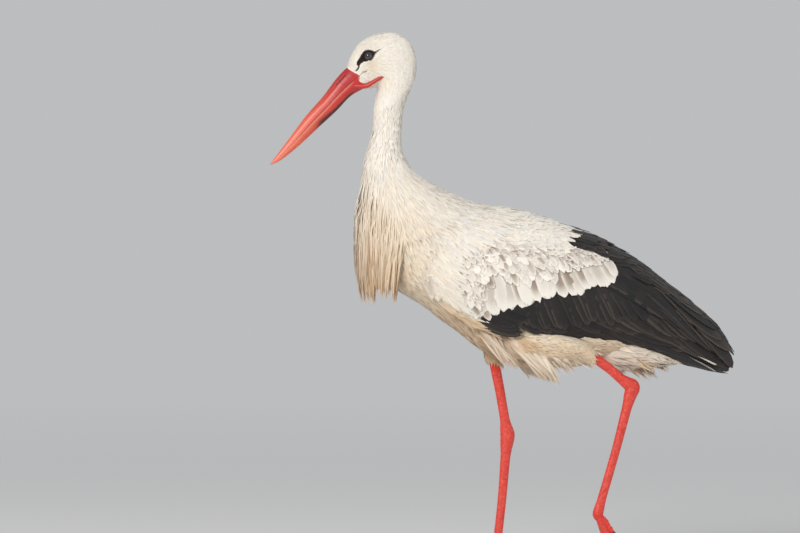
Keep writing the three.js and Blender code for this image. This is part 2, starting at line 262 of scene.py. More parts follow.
class Hull:
    """The surface of a closed mesh, asked for depths and for places on it."""

    SOFT = 3.0  # millimetres over which buried places are drawn out
    FAR = 300.0  # where rays towards the bird start
    RAY = 298.0  # how far they go
    MISSED = 4.0  # how far from the middle the nearest surface is looked for instead

    def __init__(self, points: Array, faces: list) -> None:
        """Args: points, faces: a closed mesh in millimetres with faces pointing out."""
        self.tree = BVHTree.FromPolygons([Vector(p) for p in points], faces)

    def depth(self, points: Array) -> Array:
        """How far inside the surface points lie; below zero outside."""
        found = []
        for point in points.reshape(-1, 3):
            spot, normal, _, distance = self.tree.find_nearest(Vector(point))
            inside = (Vector(point) - spot).dot(normal) < 0
            found.append(distance if inside else -distance)
        return np.array(found).reshape(points.shape[:-1])

    def lift_out(
        self,
        shafts: "Shafts",
        heights: Array,
        outline: tuple,
        facing: float = 0.45,
        lowest: float = -0.45,
        pressed: int = 0,
    ) -> None:
        """Moves the buried places of feathers out over the surface.

        Args:
            shafts: the feathers, changed in place.
            heights: over the surface, at each place along a feather, or for each feather.
            outline: side-view outline that the surface is used in.
            facing: how far sideways the surface must face.
            lowest: how far down it may face.
            pressed: how many places from the root are laid on it from outside too.
        """
        heights = np.broadcast_to(heights, shafts.spots.shape[:2])
        for spots, normals, levels in zip(shafts.spots, shafts.normals, heights):
            usable = Markings.within(spots[:, 1:], outline)
            for k in np.nonzero(usable)[0]:
                height = levels[k]
                spot, normal, _, _ = self.tree.find_nearest(Vector(spots[k]))
                deep = -(Vector(spots[k]) - spot).dot(normal)
                blend = 1.0 if k < pressed else min(1.0, max(0.0, (deep + height) / self.SOFT))
                if abs(normal.x) > facing and normal.z > lowest:
                    spots[k] = mix(spots[k], np.array(spot + normal * height), blend)
                    normals[k] = mix(normals[k], np.array(normal), blend)

    def beside(self, side: float, places: Array) -> tuple[Array, Array]:
        """The outermost surface at side-view places (y, z).

        Args:
            side: 1 for the left side, -1 for the right.
            places: (..., 2) side-view places.

        Returns: points and outward normals.
        """
        spots, normals = [], []
        for y, z in places.reshape(-1, 2):
            start = Vector((self.FAR * side, y, z))
            spot, normal, _, _ = self.tree.ray_cast(start, Vector((-side, 0, 0)), self.RAY)
            if spot is None:
                spot, normal, _, _ = self.tree.find_nearest(Vector((self.MISSED * side, y, z)))
            spots.append(spot)
            normals.append(normal)
        shape = (*places.shape[:-1], 3)
        return np.array(spots).reshape(shape), np.array(normals).reshape(shape)


# ------------------------------------------------------------------ the bird's sizes


@dataclass(frozen=True)
class Plan:
    """The forms that skin and coat share, as lists in the bird's own place."""

    body: Loft
    wing: Loft
    tail: Loft
    vent: Loft
    bill: Loft
    shift: float  # from the lists' place to the frame's along Y, in millimetres

    EYE = (15.8, -217, 781.4)

    @classmethod
    def drawn(cls) -> "Plan":
        """The plan of this bird, set in its place by the frame's eyes."""
        low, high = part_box("eye_left")
        shift = (low[1] + high[1]) / 2 / MM - cls.EYE[1]
        parts = (cls.body_rings(), cls.wing_rings(), cls.tail_rings(), cls.vent_rings(), cls.bill_rings())
        return cls(*parts, shift)

    @staticmethod
    def body_rings() -> Loft:
        """Head, neck and trunk, from the bill's root to the tail's."""
        return Loft((
            Ring("face", (-247, 764), (-234, 739), 12),
            Ring("lores", (-241, 780), (-223, 731), 17),
            Ring("forehead", (-231, 797), (-212, 732), 21.5),
            Ring("brow", (-217, 808), (-204, 733.5), 25),
            Ring("crown", (-199, 814.5), (-199.5, 732.5), 27),
            Ring("hind_crown", (-178, 816.5), (-199, 728.5), 27.5),
            Ring("occiput", (-160, 810), (-200.5, 724), 26.5),
            Ring("nape_top", (-147, 795), (-202, 719.5), 25),
            Ring("nape", (-141, 773), (-203.5, 714), 23.5),
            Ring("nape_low", (-142, 752), (-205, 706), 22),
            Ring("neck_top", (-149, 732), (-206, 697), 21),
            Ring("neck_slim", (-159, 707), (-207, 683), 20.5),
            Ring("neck_mid", (-163, 680), (-208.5, 667), 20.5),
            Ring("neck_low", (-164, 657), (-212, 651), 22),
            Ring("neck_flare", (-161, 637), (-218, 634), 26),
            Ring("neck_base", (-153, 619), (-222, 611), 32),
            Ring("collar", (-138, 603), (-224, 587), 40),
            Ring("shoulder", (-115, 588.5), (-225, 562), 50),
            Ring("breast", (-86, 575), (-225, 534), 58),
            Ring("breast_low", (-52, 561), (-221, 501), 66),
            Ring("keel", (-13, 551), (-208, 470), 72),
            Ring("mantle", (26, 539), (-181, 438), 77),
            Ring("back", (64, 523), (-133, 407), 79),
            Ring("saddle", (100, 499), (-81, 371), 77),
            Ring("loin", (134, 471), (-32, 335), 71),
            Ring("flank", (165, 445), (18, 315), 62),
            Ring("rump", (192, 422), (78, 313), 51),
            Ring("vent", (214, 403), (138, 318), 39),
            Ring("tail_root", (232, 388), (188, 327), 29),
            Ring("tail_end", (244, 376), (222, 340), 17),
        ))

    @staticmethod
    def wing_rings(down: float = 1.0) -> Loft:
        """Args: down: share of their height. Returns: the folded wings over the back, both in one."""
        rings = (
            Ring("front", (-118, 560), (-172, 446), 56),
            Ring("bend", (-72, 553), (-124, 388), 84),
            Ring("forearm", (-14, 554), (-76, 346), 94),
            Ring("coverts", (44, 541), (-20, 328), 97),
            Ring("middle", (92, 524), (40, 330), 96),
            Ring("elbow", (144, 502), (100, 338), 90),
            Ring("tertials", (192, 474), (154, 340), 80),
            Ring("hand", (236, 441), (206, 332), 66),
            Ring("primaries", (282, 405), (258, 318), 50),
            Ring("tips", (322, 368), (304, 301), 33),
            Ring("ends", (349, 325), (338, 296), 17),
        )
        lower = [tuple(mix(np.array(ring.back), np.array(ring.front), down)) for ring in rings]
        return Loft(tuple(Ring(ring.name, ring.back, front, ring.half) for ring, front in zip(rings, lower)))

    @staticmethod
    def tail_rings() -> Loft:
        """The closed tail."""
        return Loft((
            Ring("root", (224, 378), (214, 344), 18),
            Ring("middle", (266, 346), (260, 326), 31),
            Ring("fan", (298, 327), (294, 315), 37),
            Ring("edge", (317, 314), (315, 309), 35),
        ))

    @staticmethod
    def vent_rings() -> Loft:
        """The soft mass of the undertail coverts."""
        return Loft((
            Ring("start", (140, 372), (118, 318), 34),
            Ring("middle", (184, 362), (170, 310), 34),
            Ring("low", (222, 350), (216, 312), 26),
            Ring("end", (262, 330), (262, 318), 8),
        ))

    @staticmethod
    def bill_rings() -> Loft:
        """The closed bill, from its tip to inside the face."""
        return Loft((
            Ring("tip", (-364, 621), (-363, 619.6), 1),
            Ring("end", (-356, 631), (-351, 625), 2.6),
            Ring("far", (-335, 658), (-323, 646), 5.2),
            Ring("middle", (-309, 692), (-292, 674), 8.2),
            Ring("third", (-283, 721), (-263, 700), 10.6),
            Ring("nostril", (-262, 748), (-241, 722), 12.6),
            Ring("root", (-247, 763), (-222, 732.5), 13.4),
            Ring("inside", (-239, 767), (-208, 740), 10),
        ))

    def depth(self, row: Array) -> Array:
        """How far the skin lies inside the coat, at rows of the body."""
        marks = (0, 1, 3, 6, 9, 13, 16, 19, 29)
        depths = (0.8, 1.2, 1.7, 2.0, 2.5, 2.9, 3.6, 4.4, 4.6)
        return np.interp(row, marks, depths)

    def metres(self, points: Array) -> Array:
        """Points of the lists in metres, in the frame."""
        return (np.asarray(points, float) + (0, self.shift, 0)) * MM

    def listed(self, points: Array) -> Array:
        """Points in metres, in the frame, in the lists' millimetres."""
        return points / MM - (0, self.shift, 0)


class Side(Enum):
    """The bird's two sides, with the sign of X."""

    LEFT = 1
    RIGHT = -1

    @property
    def word(self) -> str:
        """The side's name as used in node names."""
        return self.name.lower()


# ------------------------------------------------------------------ colours


def tone(red: int, green: int, blue: int) -> Array:
    """A colour in 0 to 255 steps, as light values."""
    part = np.array([red, green, blue]) / 255
    return np.where(part <= 0.04045, part / 12.92, ((part + 0.055) / 1.055) ** 2.4)


class Palette:
    """The bird's colours."""

    WHITE = tone(243, 237, 227)
    CREAM = tone(234, 214, 184)
    TAN = tone(196, 156, 112)
    ASH = tone(140, 120, 103)
    BLACK = tone(22, 20, 21)
    UMBER = tone(98, 86, 78)
    MASK = tone(32, 20, 17)
    PUPIL = tone(10, 7, 6)
    IRIS = tone(32, 19, 14)
    EYE_BACK = tone(70, 40, 36)
    LEG = tone(216, 54, 40)
    FOOT = tone(196, 52, 42)
    SCUTE = tone(236, 120, 104)
    CLAW_ROOT = tone(74, 52, 44)
    CLAW_TIP = tone(34, 28, 27)
    BILL_ROOT = tone(186, 40, 38)
    BILL_TIP = tone(222, 104, 78)
    BILL_EDGE = tone(226, 140, 116)
    BILL_DEEP = tone(150, 24, 36)
    BILL_PARTING = tone(84, 34, 28)


class Markings:
    """Where on the bird each colour lies; skin and coat both ask here."""

    EYE_PATCH = (
        (-200.5, 794), (-206, 790.3), (-209, 788.8), (-213, 791), (-218, 791.6), (-222, 790.5), (-225.5, 788),
        (-228.5, 784), (-230.5, 780), (-233, 776), (-235.8, 772.5), (-235, 769), (-233.5, 764.5),
        (-238.5, 760.8), (-236, 758.8), (-231.8, 762), (-230.6, 767.5), (-228, 771.2), (-223.5, 773),
        (-218, 774.4), (-213, 778), (-209.6, 781.5), (-207.8, 785.5), (-199.6, 792.6),
    )

    BILL_FACE = (
        (-252, 768), (-247, 763), (-239.3, 757.6), (-233.5, 754.6), (-231.3, 752.6), (-232.2, 748),
        (-231, 744), (-226, 741.2), (-219, 739), (-230, 731), (-252, 745),
    )
    # painted shadow: a thin dark line where the feathers fold near the bill's root
    CREASE = ((-231, 746.5), (-230.8, 751), (-229, 755.4), (-224, 758.4), (-219.5, 761))
    CHEEKBONE = 6.0  # how far from the middle the mask's skin starts

    @staticmethod
    def away(places: Array, path: tuple) -> Array:
        """Args: places: side-view places. path: a broken line. Returns: distances to it."""
        best = np.full(places.shape[:-1], 1e9)
        for start, end in zip(path[:-1], path[1:]):
            a, b = np.array(start, float), np.array(end, float)
            share = np.clip(((places - a) @ (b - a)) / ((b - a) @ (b - a)), 0, 1)
            best = np.minimum(best, np.linalg.norm(places - a - share[..., None] * (b - a), axis=-1))
        return best

    @staticmethod
    def within(places: Array, outline: tuple) -> Array:
        """Args: places: (N, 2). outline: a closed outline. Returns: whether each is inside."""
        y, z = places[..., 0], places[..., 1]
        inside = np.zeros(y.shape, bool)
        count = len(outline)
        for i in range(count):
            (y0, z0), (y1, z1) = outline[i], outline[(i + 1) % count]
            if z0 == z1:
                continue
            crosses = (z0 > z) != (z1 > z)
            inside ^= crosses & (y < (y1 - y0) * (z - z0) / (z1 - z0) + y0)
        return inside

    @classmethod
    def masked(cls, points: Array) -> Array:
        """Whether points lie in the bare dark skin round the eye and down to the bill."""
        return cls.within(points[..., 1:], cls.EYE_PATCH) & (np.abs(points[..., 0]) > cls.CHEEKBONE)

    @classmethod
    def share_within(cls, points: Array, outline: tuple) -> Array:
        """How far points of the skin take the colour of an outline's inside, over a soft edge."""
        places = points[..., 1:]
        gap = cls.away(places, (*outline, outline[0]))
        return ease(-0.75, 0.65, np.where(cls.within(places, outline), gap, -gap))

    @staticmethod
    def under_front(points: Array) -> Array:
        """How far points lie under the line where the wing's front edge ends."""
        return 456 - 0.723 * (points[..., 1] + 154) - points[..., 2]

    @classmethod
    def warmth(cls, points: Array) -> Array:
        """How far the white turns to cream, 0 to 1."""
        y, z = points[..., 1], points[..., 2]
        breast = ease(650, 455, z) * ease(-80, -190, y)
        side = 0.76 * ease(-8, 16, cls.under_front(points)) * ease(-25, -70, y)
        # the belly turns cream towards the bottom: partly the plumage's own cream, partly painted shade of
        # the underside
        belly = ease(430, 330, z) * 0.85
        cheek = 0.6 * np.exp(-((y + 213) ** 2 + (z - 767) ** 2) / 90.0)
        throat = 0.35 * np.exp(-((y + 197) ** 2 / 160.0 + (z - 742) ** 2 / 120.0))
        front = np.maximum(0.8 * breast, side)
        return np.clip(0.06 + front + belly + cheek + throat + cls.rust(points), 0, 1)

    @staticmethod
    def rust(points: Array) -> Array:
        """How brown the flank is painted under the wing's front, 0 to 1: painted shade."""
        across, up = (points[..., 1] + 34) / 36, (points[..., 2] - 350) / 20
        return np.exp(-(across**2) - up**2)

    @classmethod
    def plumage(cls, points: Array) -> Array:
        """The white plumage's colour at points."""
        share = cls.warmth(points)[..., None]
        deep = 0.42 * ease(0.7, 1.0, share) + 0.4 * cls.rust(points)[..., None]
        colour = mix(mix(Palette.WHITE, Palette.CREAM, share), Palette.TAN, deep)
        # painted shadow: the plumage turns dark along the fold near the bill's root
        crease = 0.75 * ease(1.3, 0.4, cls.away(points[..., 1:], cls.CREASE))[..., None]
        return colour * (1 - crease) + Palette.MASK * 2 * crease


# ------------------------------------------------------------------ feathers


class Cut(Enum):
    """Outlines of a feather: (share of its length, share of its half width) from root to tip."""

    LANCE = ((0.0, 0.3), (0.2, 0.8), (0.48, 1.0), (0.76, 0.66), (0.92, 0.26))
    SOFT = ((0.0, 0.4), (0.3, 0.9), (0.62, 1.0), (0.86, 0.74), (0.96, 0.4))
    SHORT = ((0.0, 0.5), (0.38, 1.0), (0.75, 0.72), (0.93, 0.34))
    SCALE = ((0.0, 0.45), (0.25, 0.8), (0.5, 0.97), (0.72, 1.0), (0.88, 0.84), (0.96, 0.55), (0.99, 0.27))
    BLADE = (
        (0.0, 0.5), (0.15, 0.8), (0.35, 0.95), (0.55, 1.0), (0.72, 0.97), (0.85, 0.82), (0.93, 0.6),
        (0.975, 0.34),
    )
    QUILL = (
        (0.0, 0.5), (0.12, 0.75), (0.28, 0.95), (0.45, 1.0), (0.6, 0.96), (0.75, 0.8), (0.88, 0.56),
        (0.96, 0.3),
    )

    @property
    def along(self) -> Array:
        """Shares of the length at the outline's rings."""
        return np.array(self.value)[:, 0]

    @property
    def places(self) -> Array:
        """Shares of the length at the rings and the tip."""
        return np.append(self.along, 1.0)

    @property
    def widths(self) -> Array:
        """Shares of the half width at the outline's rings."""
        return np.array(self.value)[:, 1]


class Section(Enum):
    """Cross-sections of a feather: (place across, height) from its left edge over the top."""

    HAIR = ((-1.0, 0.0), (0.0, 1.0), (1.0, 0.0), (0.0, -1.0))
    BROAD = (
        (-1.0, 0.0), (-0.75, 0.6), (-0.4, 0.85), (0.0, 1.1), (0.4, 0.85), (0.75, 0.6), (1.0, 0.0),
        (0.0, -0.8),
    )
    SHAFTED = (
        (-1.0, 0.0), (-0.6, 0.6), (-0.09, 0.75), (0.0, 1.9), (0.09, 0.75), (0.6, 0.6), (1.0, 0.0),
        (0.0, -0.8),
    )

    @property
    def across(self) -> Array:
        """Places across the feather."""
        return np.array(self.value)[:, 0]

    @property
    def heights(self) -> Array:
        """Heights over its middle, in half thicknesses."""
        return np.array(self.value)[:, 1]


@dataclass
class Shafts:
    """Feathers to be laid: their middle lines and what goes with each."""

    spots: Array  # (N, K + 1, 3), rings then tip, millimetres
    normals: Array  # the same shape
    half: Array  # (N,) half widths
    root_map: Array  # (N, 2) places of the roots on the unwrapped skin
    thick: float = 0.35
    camber: float = 0.08
    roll: Array | float = 0.0
    fray: float = 0.0  # unevenness of the edges, in half widths

    @property
    def count(self) -> int:
        """How many feathers there are."""
        return len(self.spots)


Painter = Callable[[Array, Array], Array]


class Skein:
    """Feathers gathered into one mesh, each a closed thin vane."""

    PATCH = 0.003  # the size of a feather on the bake's map
    SUNK = 0.03  # how far the closed root reaches back, as a share of the length
    THINNEST = 0.35  # thickness at the narrow ends, as a share of the middle's
    LEFT_EDGE, RIGHT_EDGE, ENDS = 1, 2, 3  # marks of the points on a vane's edges

    def __init__(self, plan: Plan) -> None:
        """Args: plan: the bird's forms."""
        self.plan = plan
        self.chance = np.random.default_rng(5)
        self.points: list[Array] = []
        self.colours: list[Array] = []
        self.vanes: list[Array] = []
        self.roots: list[Array] = []
        self.patches: list[Array] = []
        self.corners: list[Array] = []
        self.sizes: list[Array] = []
        self.edges: list[Array] = []
        self.total = 0

    def lay(self, shafts: Shafts, cut: Cut, section: Section, paint: Painter) -> None:
        """Adds feathers.

        Args:
            shafts: where they lie.
            cut: their outline.
            section: their cross-section.
            paint: gives colours (N, K, S, 3) for shares along (K,) and places across (S,).
        """
        if not shafts.count:
            return
        along, across = cut.along, section.across
        count, rings, sides = shafts.count, len(along), len(across)
        spots, normals = shafts.spots, unit(shafts.normals)
        heading = unit(np.gradient(spots, axis=1))
        side = unit(np.cross(heading, normals))
        normals = np.cross(side, heading)
        half = shafts.half[:, None] * cut.widths
        roll = np.broadcast_to(np.asarray(shafts.roll, float), (count,))[:, None, None]
        spread = half[..., None] * across
        taper = self.THINNEST + (1 - self.THINNEST) * cut.widths[:, None]
        lift = section.heights * shafts.thick / 2 * taper - shafts.camber * half[..., None] * across**2
        lift = lift + roll * spread
        body = spots[:, :rings, None] + side[:, :rings, None] * spread[..., None]
        body = body + normals[:, :rings, None] * lift[..., None]
        reach = np.linalg.norm(np.diff(spots, axis=1), axis=-1).sum(1)
        root = spots[:, :1] - heading[:, :1] * self.SUNK * reach[:, None, None]
        if shafts.fray:
            ragged = np.abs(across) * along[:, None] * self.chance.normal(0, shafts.fray, spread.shape)
            body = body + heading[:, :rings, None] * (ragged * shafts.half[:, None, None])[..., None]
        points = np.concatenate([root, body.reshape(count, -1, 3), spots[:, rings : rings + 1]], 1)
        colours = paint(along, across)
        ends = colours.mean(2)
        colours = np.concatenate([ends[:, :1], colours.reshape(count, -1, 3), ends[:, -1:]], 1)
        place = np.concatenate([[0.0], np.repeat(along, sides), [1.0]])
        cross = np.concatenate([[0.0], np.tile(across, rings), [0.0]])
        width = np.concatenate([[0.2], np.repeat(cut.widths, sides), [0.1]])
        vane = np.stack([shafts.half[:, None] * cross * width, reach[:, None] * place], -1)
        patch = np.stack([cross / 2, place - 0.5], -1) * self.PATCH
        corners, sizes = self.faces(rings, sides)
        brink = np.tile(self.LEFT_EDGE * (across <= -1) + self.RIGHT_EDGE * (across >= 1), rings)
        self.edges.append(np.tile(np.concatenate([[self.ENDS], brink, [self.ENDS]]), count))
        step = np.arange(count)[:, None] * (rings * sides + 2) + self.total
        self.points.append(points.reshape(-1, 3))
        self.colours.append(np.clip(colours, 0, 1).reshape(-1, 3))
        self.vanes.append(vane.reshape(-1, 2))
        self.roots.append(np.repeat(shafts.root_map, len(patch), axis=0))
        self.patches.append(np.tile(patch, (count, 1)))
        self.corners.append((corners + step).ravel())
        self.sizes.append(np.tile(sizes, count))
        self.total += count * (rings * sides + 2)

    @staticmethod
    def faces(rings: int, sides: int) -> tuple[Array, Array]:
        """Args: rings, sides: a vane's make. Returns: its corners in a row, and corners per face."""
        corners, sizes = [], []
        tip = rings * sides + 1
        for i, j in linked(sides):
            corners += [0, 1 + j, 1 + i]
            sizes.append(3)
            for k in range(rings - 1):
                low, high = 1 + k * sides, 1 + (k + 1) * sides
                corners += [low + i, low + j, high + j, high + i]
                sizes.append(4)
            top = 1 + (rings - 1) * sides
            corners += [top + i, top + j, tip]
            sizes.append(3)
        return np.array(corners), np.array(sizes)

    def bake_map(self) -> Array:
        """Returns: a small patch for each feather, its roots spread over the whole map."""
        roots = np.vstack(self.roots)
        low, high = roots.min(0), roots.max(0)
        margin = 2 * self.PATCH
        return margin + (roots - low) / (high - low) * (1 - 2 * margin) + np.vstack(self.patches)

    def made(self, name: str, finish: bpy.types.Material) -> bpy.types.Object:
        """Args: name, finish: of the piece. Returns: the joined mesh object."""
        points = self.plan.metres(np.vstack(self.points))
        corners = np.concatenate(self.corners)
        sizes = np.concatenate(self.sizes)
        mesh = bpy.data.meshes.new(name)
        mesh.vertices.add(len(points))
        mesh.vertices.foreach_set("co", points.astype(np.float32).ravel())
        mesh.loops.add(len(corners))
        mesh.loops.foreach_set("vertex_index", corners.astype(np.int32))
        mesh.polygons.add(len(sizes))
        starts = np.concatenate([[0], np.cumsum(sizes)[:-1]])
        mesh.polygons.foreach_set("loop_start", starts.astype(np.int32))
        mesh.update(calc_edges=True)
        mesh.shade_smooth()
        ends = np.empty(len(mesh.edges) * 2, np.int32)
        mesh.edges.foreach_get("vertices", ends)
        brink = np.concatenate(self.edges)[ends.reshape(-1, 2)]
        crease = mesh.attributes.new("sharp_edge", "BOOLEAN", "EDGE")
        crease.data.foreach_set("value", (brink[:, 0] & brink[:, 1]) > 0)
        set_colours(mesh, np.vstack(self.colours))
        for title, places in (("Vane", np.vstack(self.vanes)), ("OFBake", self.bake_map())):
            layer = mesh.uv_layers.new(name=title, do_init=False)
            layer.uv.foreach_set("vector", places[corners].astype(np.float32).ravel())
        mesh.uv_layers["Vane"].active_render = True
        mesh.materials.append(finish)
        log.info("%s: %d triangles", name, int((sizes - 2).sum()))
        return placed(name, mesh)


def set_colours(mesh: bpy.types.Mesh, colours: Array) -> None:
    """Args: mesh: to be coloured. colours: (N, 3) for its points."""
    layer = mesh.color_attributes.new("Coat", "FLOAT_COLOR", "POINT")
    four = np.concatenate([colours, np.ones((len(colours), 1))], 1)
    layer.data.foreach_set("color", four.astype(np.float32).ravel())


@dataclass(frozen=True)
class Lie:
    """How one patch of small feathers lies on a tube."""

    length: float
    width: float
    cut: Cut = Cut.SOFT
    section: Section = Section.HAIR
    lift: float = 0.6  # of the tips over the coat's surface
    loose: float = 5.0  # degrees that a feather may stray
    thick: float = 0.35
    bend: float = 0.0  # how far the tips hang straight down, 0 to 1
    fray: float = 0.12


class Layer:
    """Lays feathers over tubes and over the folded wing."""

    TRIALS = 4000  # places asked before the density is known
    CROWD = 3.4  # places tried for each that there is room for
    SPARE = 4  # how much denser they are drawn, to be thinned to their density

    def __init__(self, plan: Plan, seed: int) -> None:
        """Args: plan: the bird's forms. seed: for every chance in this layer."""
        self.plan = plan
        self.chance = np.random.default_rng(seed)

    def scatter(
        self,
        tube: Tube,
        rows: tuple[float, float],
        spacing: Reading,
        turns: tuple[float, float] = (-np.pi, np.pi),
    ) -> tuple[Array, Array]:
        """Even but unruly places on a tube.

        Args:
            tube: the surface.
            rows: first and last row.
            spacing: the least distance between places.
            turns: first and last turn.

        Returns: rows and turns of the places.
        """

        def tries(count: int) -> tuple[Array, Array, Array]:
            """Args: count: of places. Returns: their rows, turns and how densely they have to lie."""
            row = self.chance.uniform(*rows, count)
            turn = self.chance.uniform(*turns, count)
            _, _, _, per_row, per_turn = tube.basis(row, turn)
            return row, turn, per_row * per_turn / read(spacing, row) ** 2

        _, _, need = tries(self.TRIALS)
        area = need.mean() * (rows[1] - rows[0]) * (turns[1] - turns[0])
        row, turn, need = tries(int(area * self.CROWD) * self.SPARE)
        kept = self.chance.random(len(row)) < need / (need.mean() * self.SPARE)
        row, turn = row[kept], turn[kept]
        spots = tube.at(row, turn)
        reach = read(spacing, row)
        tree = KDTree(len(row))
        for i, spot in enumerate(spots):
            tree.insert(Vector(spot), i)
        tree.balance()
        free = np.ones(len(row), bool)
        for i, spot in enumerate(spots):
            if free[i]:
                for _, j, _ in tree.find_range(Vector(spot), reach[i]):
                    if j > i:
                        free[j] = False
        return row[free], turn[free]

    def along_tube(
        self,
        tube: Tube,
        row: Array,
        turn: Array,
        lie: Lie,
        skin: Reading,
        scale: Array | float = 1.0,
        yaw: Array | float = 0.0,
    ) -> Shafts:
        """Feathers that follow a tube's own lie.

        Args:
            tube: the surface.
            row, turn: places of the roots.
            lie: sizes.
            skin: how deep the skin lies.
            scale: of each feather.
            yaw: of each feather from the lie, in radians.

        Returns: the feathers.
        """
        count = len(row)
        along = lie.cut.places
        chance = self.chance
        length = lie.length * scale * chance.uniform(0.85, 1.15, count)
        yaw = yaw + np.radians(chance.normal(0, lie.loose, count))
        curl = np.radians(chance.normal(0, lie.loose * 0.7, count))
        deep = read(skin, row)
        rise = chance.uniform(0.4, 1.0, count) * lie.lift
        rows, turns = row.copy(), turn.copy()
        spots, normals = [], []
        for k, place in enumerate(along):
            if k:
                step = length * (place - along[k - 1])
                _, _, _, per_row, per_turn = tube.basis(rows, turns)
                bearing = yaw + curl * place
                rows = rows + np.cos(bearing) * step / np.maximum(per_row, 0.5)
                turns = turns + np.sin(bearing) * step / np.maximum(per_turn, 2.0)
            height = -deep * (1 - place) ** 1.5 - 0.4 * (1 - place) + rise * place
            spots.append(tube.at(rows, turns, height))
            normals.append(tube.basis(rows, turns)[2])
        spots, normals = np.stack(spots, 1), np.stack(normals, 1)
        if lie.bend:
            drop = np.array([0.0, 0.0, -1.0]) * (length[:, None, None] * lie.bend)
            spots = spots + drop * (along**2)[None, :, None] * 0.5
        half = lie.width / 2 * scale * chance.uniform(0.85, 1.15, count)
        places = np.stack([(turn / (2 * np.pi)) % 1.0, row / tube.last], -1)
        roll = chance.normal(0, 0.06, count)
        return Shafts(spots, normals, half * np.ones(count), places, lie.thick, roll=roll, fray=lie.fray)

    def shade(
        self, shafts: Shafts, base: Array, *, root: float = 0.12, spread: float = 0.05, edge: float = 0.0
    ) -> Painter:
        """Colours for pale feathers.

        Args:
            shafts: the feathers.
            base: (N, 3) their colours.
            root: how much darker they are at their roots.
            spread: how far one differs from another.
            edge: how much lighter their edges are.

        Returns: a painter for Skein.lay.
        """
        gain = 1 + self.chance.normal(0, spread, shafts.count)
        warm = self.chance.normal(0, spread * 0.4, shafts.count)

        def paint(along: Array, across: Array) -> Array:
            """See Skein.lay."""
            light = 1 - root * (1 - along[:, None]) ** 1.3 + edge * across**2 * along[:, None]
            colour = base[:, None, None] * (light * gain[:, None, None])[..., None]
            return colour * (1 + warm[:, None, None, None] * np.array([1.0, 0.0, -1.6]))

        return paint


# ------------------------------------------------------------------ finishes


class Sheet:
    """A material's nodes, with short calls to add and join them."""

    def __init__(self, name: str, **values: float) -> None:
        """Args: name: of the material. values: of the shader's inputs, in lower case with underscores."""
        self.material = bpy.data.materials.new(name)
        self.material.use_nodes = True
        self.nodes = self.material.node_tree.nodes
        self.links = self.material.node_tree.links
        self.shader = self.nodes["Principled BSDF"]
        for key, value in values.items():
            self.shader.inputs[key.replace("_", " ").title().replace("Ior", "IOR")].default_value = value

    def add(self, kind: str, **settings: object) -> bpy.types.Node:
        """Args: kind: node type. settings: its properties. Returns: the node."""
        node = self.nodes.new(kind)
        for name, value in settings.items():
            setattr(node, name, value)
        return node

    def put(self, value: object, target: bpy.types.NodeSocket) -> None:
        """Args: value: a constant or a socket. target: the input that takes it."""
        if isinstance(value, bpy.types.NodeSocket):
            self.links.new(value, target)
        else:
            target.default_value = value

    def feed(self, node: bpy.types.Node, **values: object) -> bpy.types.Node:
        """Args: node: to be fed. values: constants or sockets, by input. Returns: the node."""
        for title, value in values.items():
            self.put(value, node.inputs[title.replace("_", " ")])
        return node

    def math(self, operation: str, *values: object) -> bpy.types.NodeSocket:
        """Args: operation: of a Math node. values: numbers or sockets. Returns: its output."""
        node = self.add("ShaderNodeMath", operation=operation)
        for value, target in zip(values, node.inputs):
            self.put(value, target)
        return node.outputs[0]

    def noise(self, place: bpy.types.NodeSocket, scale: float, detail: float = 2.0) -> bpy.types.NodeSocket:
        """Args: place: where it is read. scale, detail: of a noise texture. Returns: its value."""
        node = self.feed(self.add("ShaderNodeTexNoise"), Scale=scale, Detail=detail, Vector=place)
        return node.outputs["Fac"]

    def place(self) -> bpy.types.NodeSocket:
        """Returns: the place on the object, in metres."""
        return self.add("ShaderNodeTexCoord").outputs["Object"]

    def tint(self, gain: bpy.types.NodeSocket) -> None:
        """Args: gain: what the points' own colours are multiplied by."""
        colour = self.add("ShaderNodeVertexColor", layer_name="Coat").outputs["Color"]
        node = self.feed(self.add("ShaderNodeVectorMath", operation="SCALE"), Vector=colour, Scale=gain)
        self.feed(self.shader, Base_Color=node.outputs[0])

    def bump(self, height: bpy.types.NodeSocket, strength: float, distance: float) -> None:
        """Args: height: socket. strength, distance: of the relief, distance in metres."""
        node = self.feed(self.add("ShaderNodeBump"), Strength=strength, Distance=distance, Height=height)
        self.feed(self.shader, Normal=node.outputs["Normal"])


@dataclass(frozen=True)
class PlumageFinish:
    """Feather: barbs that slant from the shaft, with splits between them, over its own colours."""

    name: str
    rough: float
    barb: float  # millimetres between barbs
    depth: float  # how dark the lines between barbs are
    relief: float  # metres
    sheen: float = 0.25
    slant: float = 1.7

    SPLITS = (0.16, 0.55)  # of the noise, per millimetre across and along

    def material(self) -> bpy.types.Material:
        """Returns: the finish as a material."""
        sheet = Sheet(
            self.name,
            roughness=self.rough,
            specular_ior_level=0.3,
            sheen_weight=self.sheen,
            sheen_roughness=0.6,
        )
        vane = sheet.add("ShaderNodeUVMap", uv_map="Vane").outputs[0]
        across, along, _ = sheet.feed(sheet.add("ShaderNodeSeparateXYZ"), Vector=vane).outputs
        back = sheet.math("MULTIPLY", sheet.math("ABSOLUTE", across), self.slant)
        run = sheet.math("SUBTRACT", along, back)
        lines = sheet.math("SINE", sheet.math("MULTIPLY", run, 2 * math.pi / self.barb))
        lines = sheet.math("MULTIPLY_ADD", lines, 0.5, 0.5)
        wide, long = (sheet.math("MULTIPLY", *pair) for pair in zip((across, run), self.SPLITS))
        splits = sheet.noise(sheet.feed(sheet.add("ShaderNodeCombineXYZ"), X=wide, Y=long).outputs[0], 1.0)
        gain = sheet.math("MULTIPLY_ADD", lines, self.depth * 0.5, 1 - self.depth)
        sheet.tint(sheet.math("MULTIPLY_ADD", splits, self.depth, gain))
        relief = sheet.math("MULTIPLY_ADD", splits, 1.2, sheet.math("MULTIPLY", lines, 0.5))
        sheet.bump(relief, 0.5, self.relief)
        return sheet.material


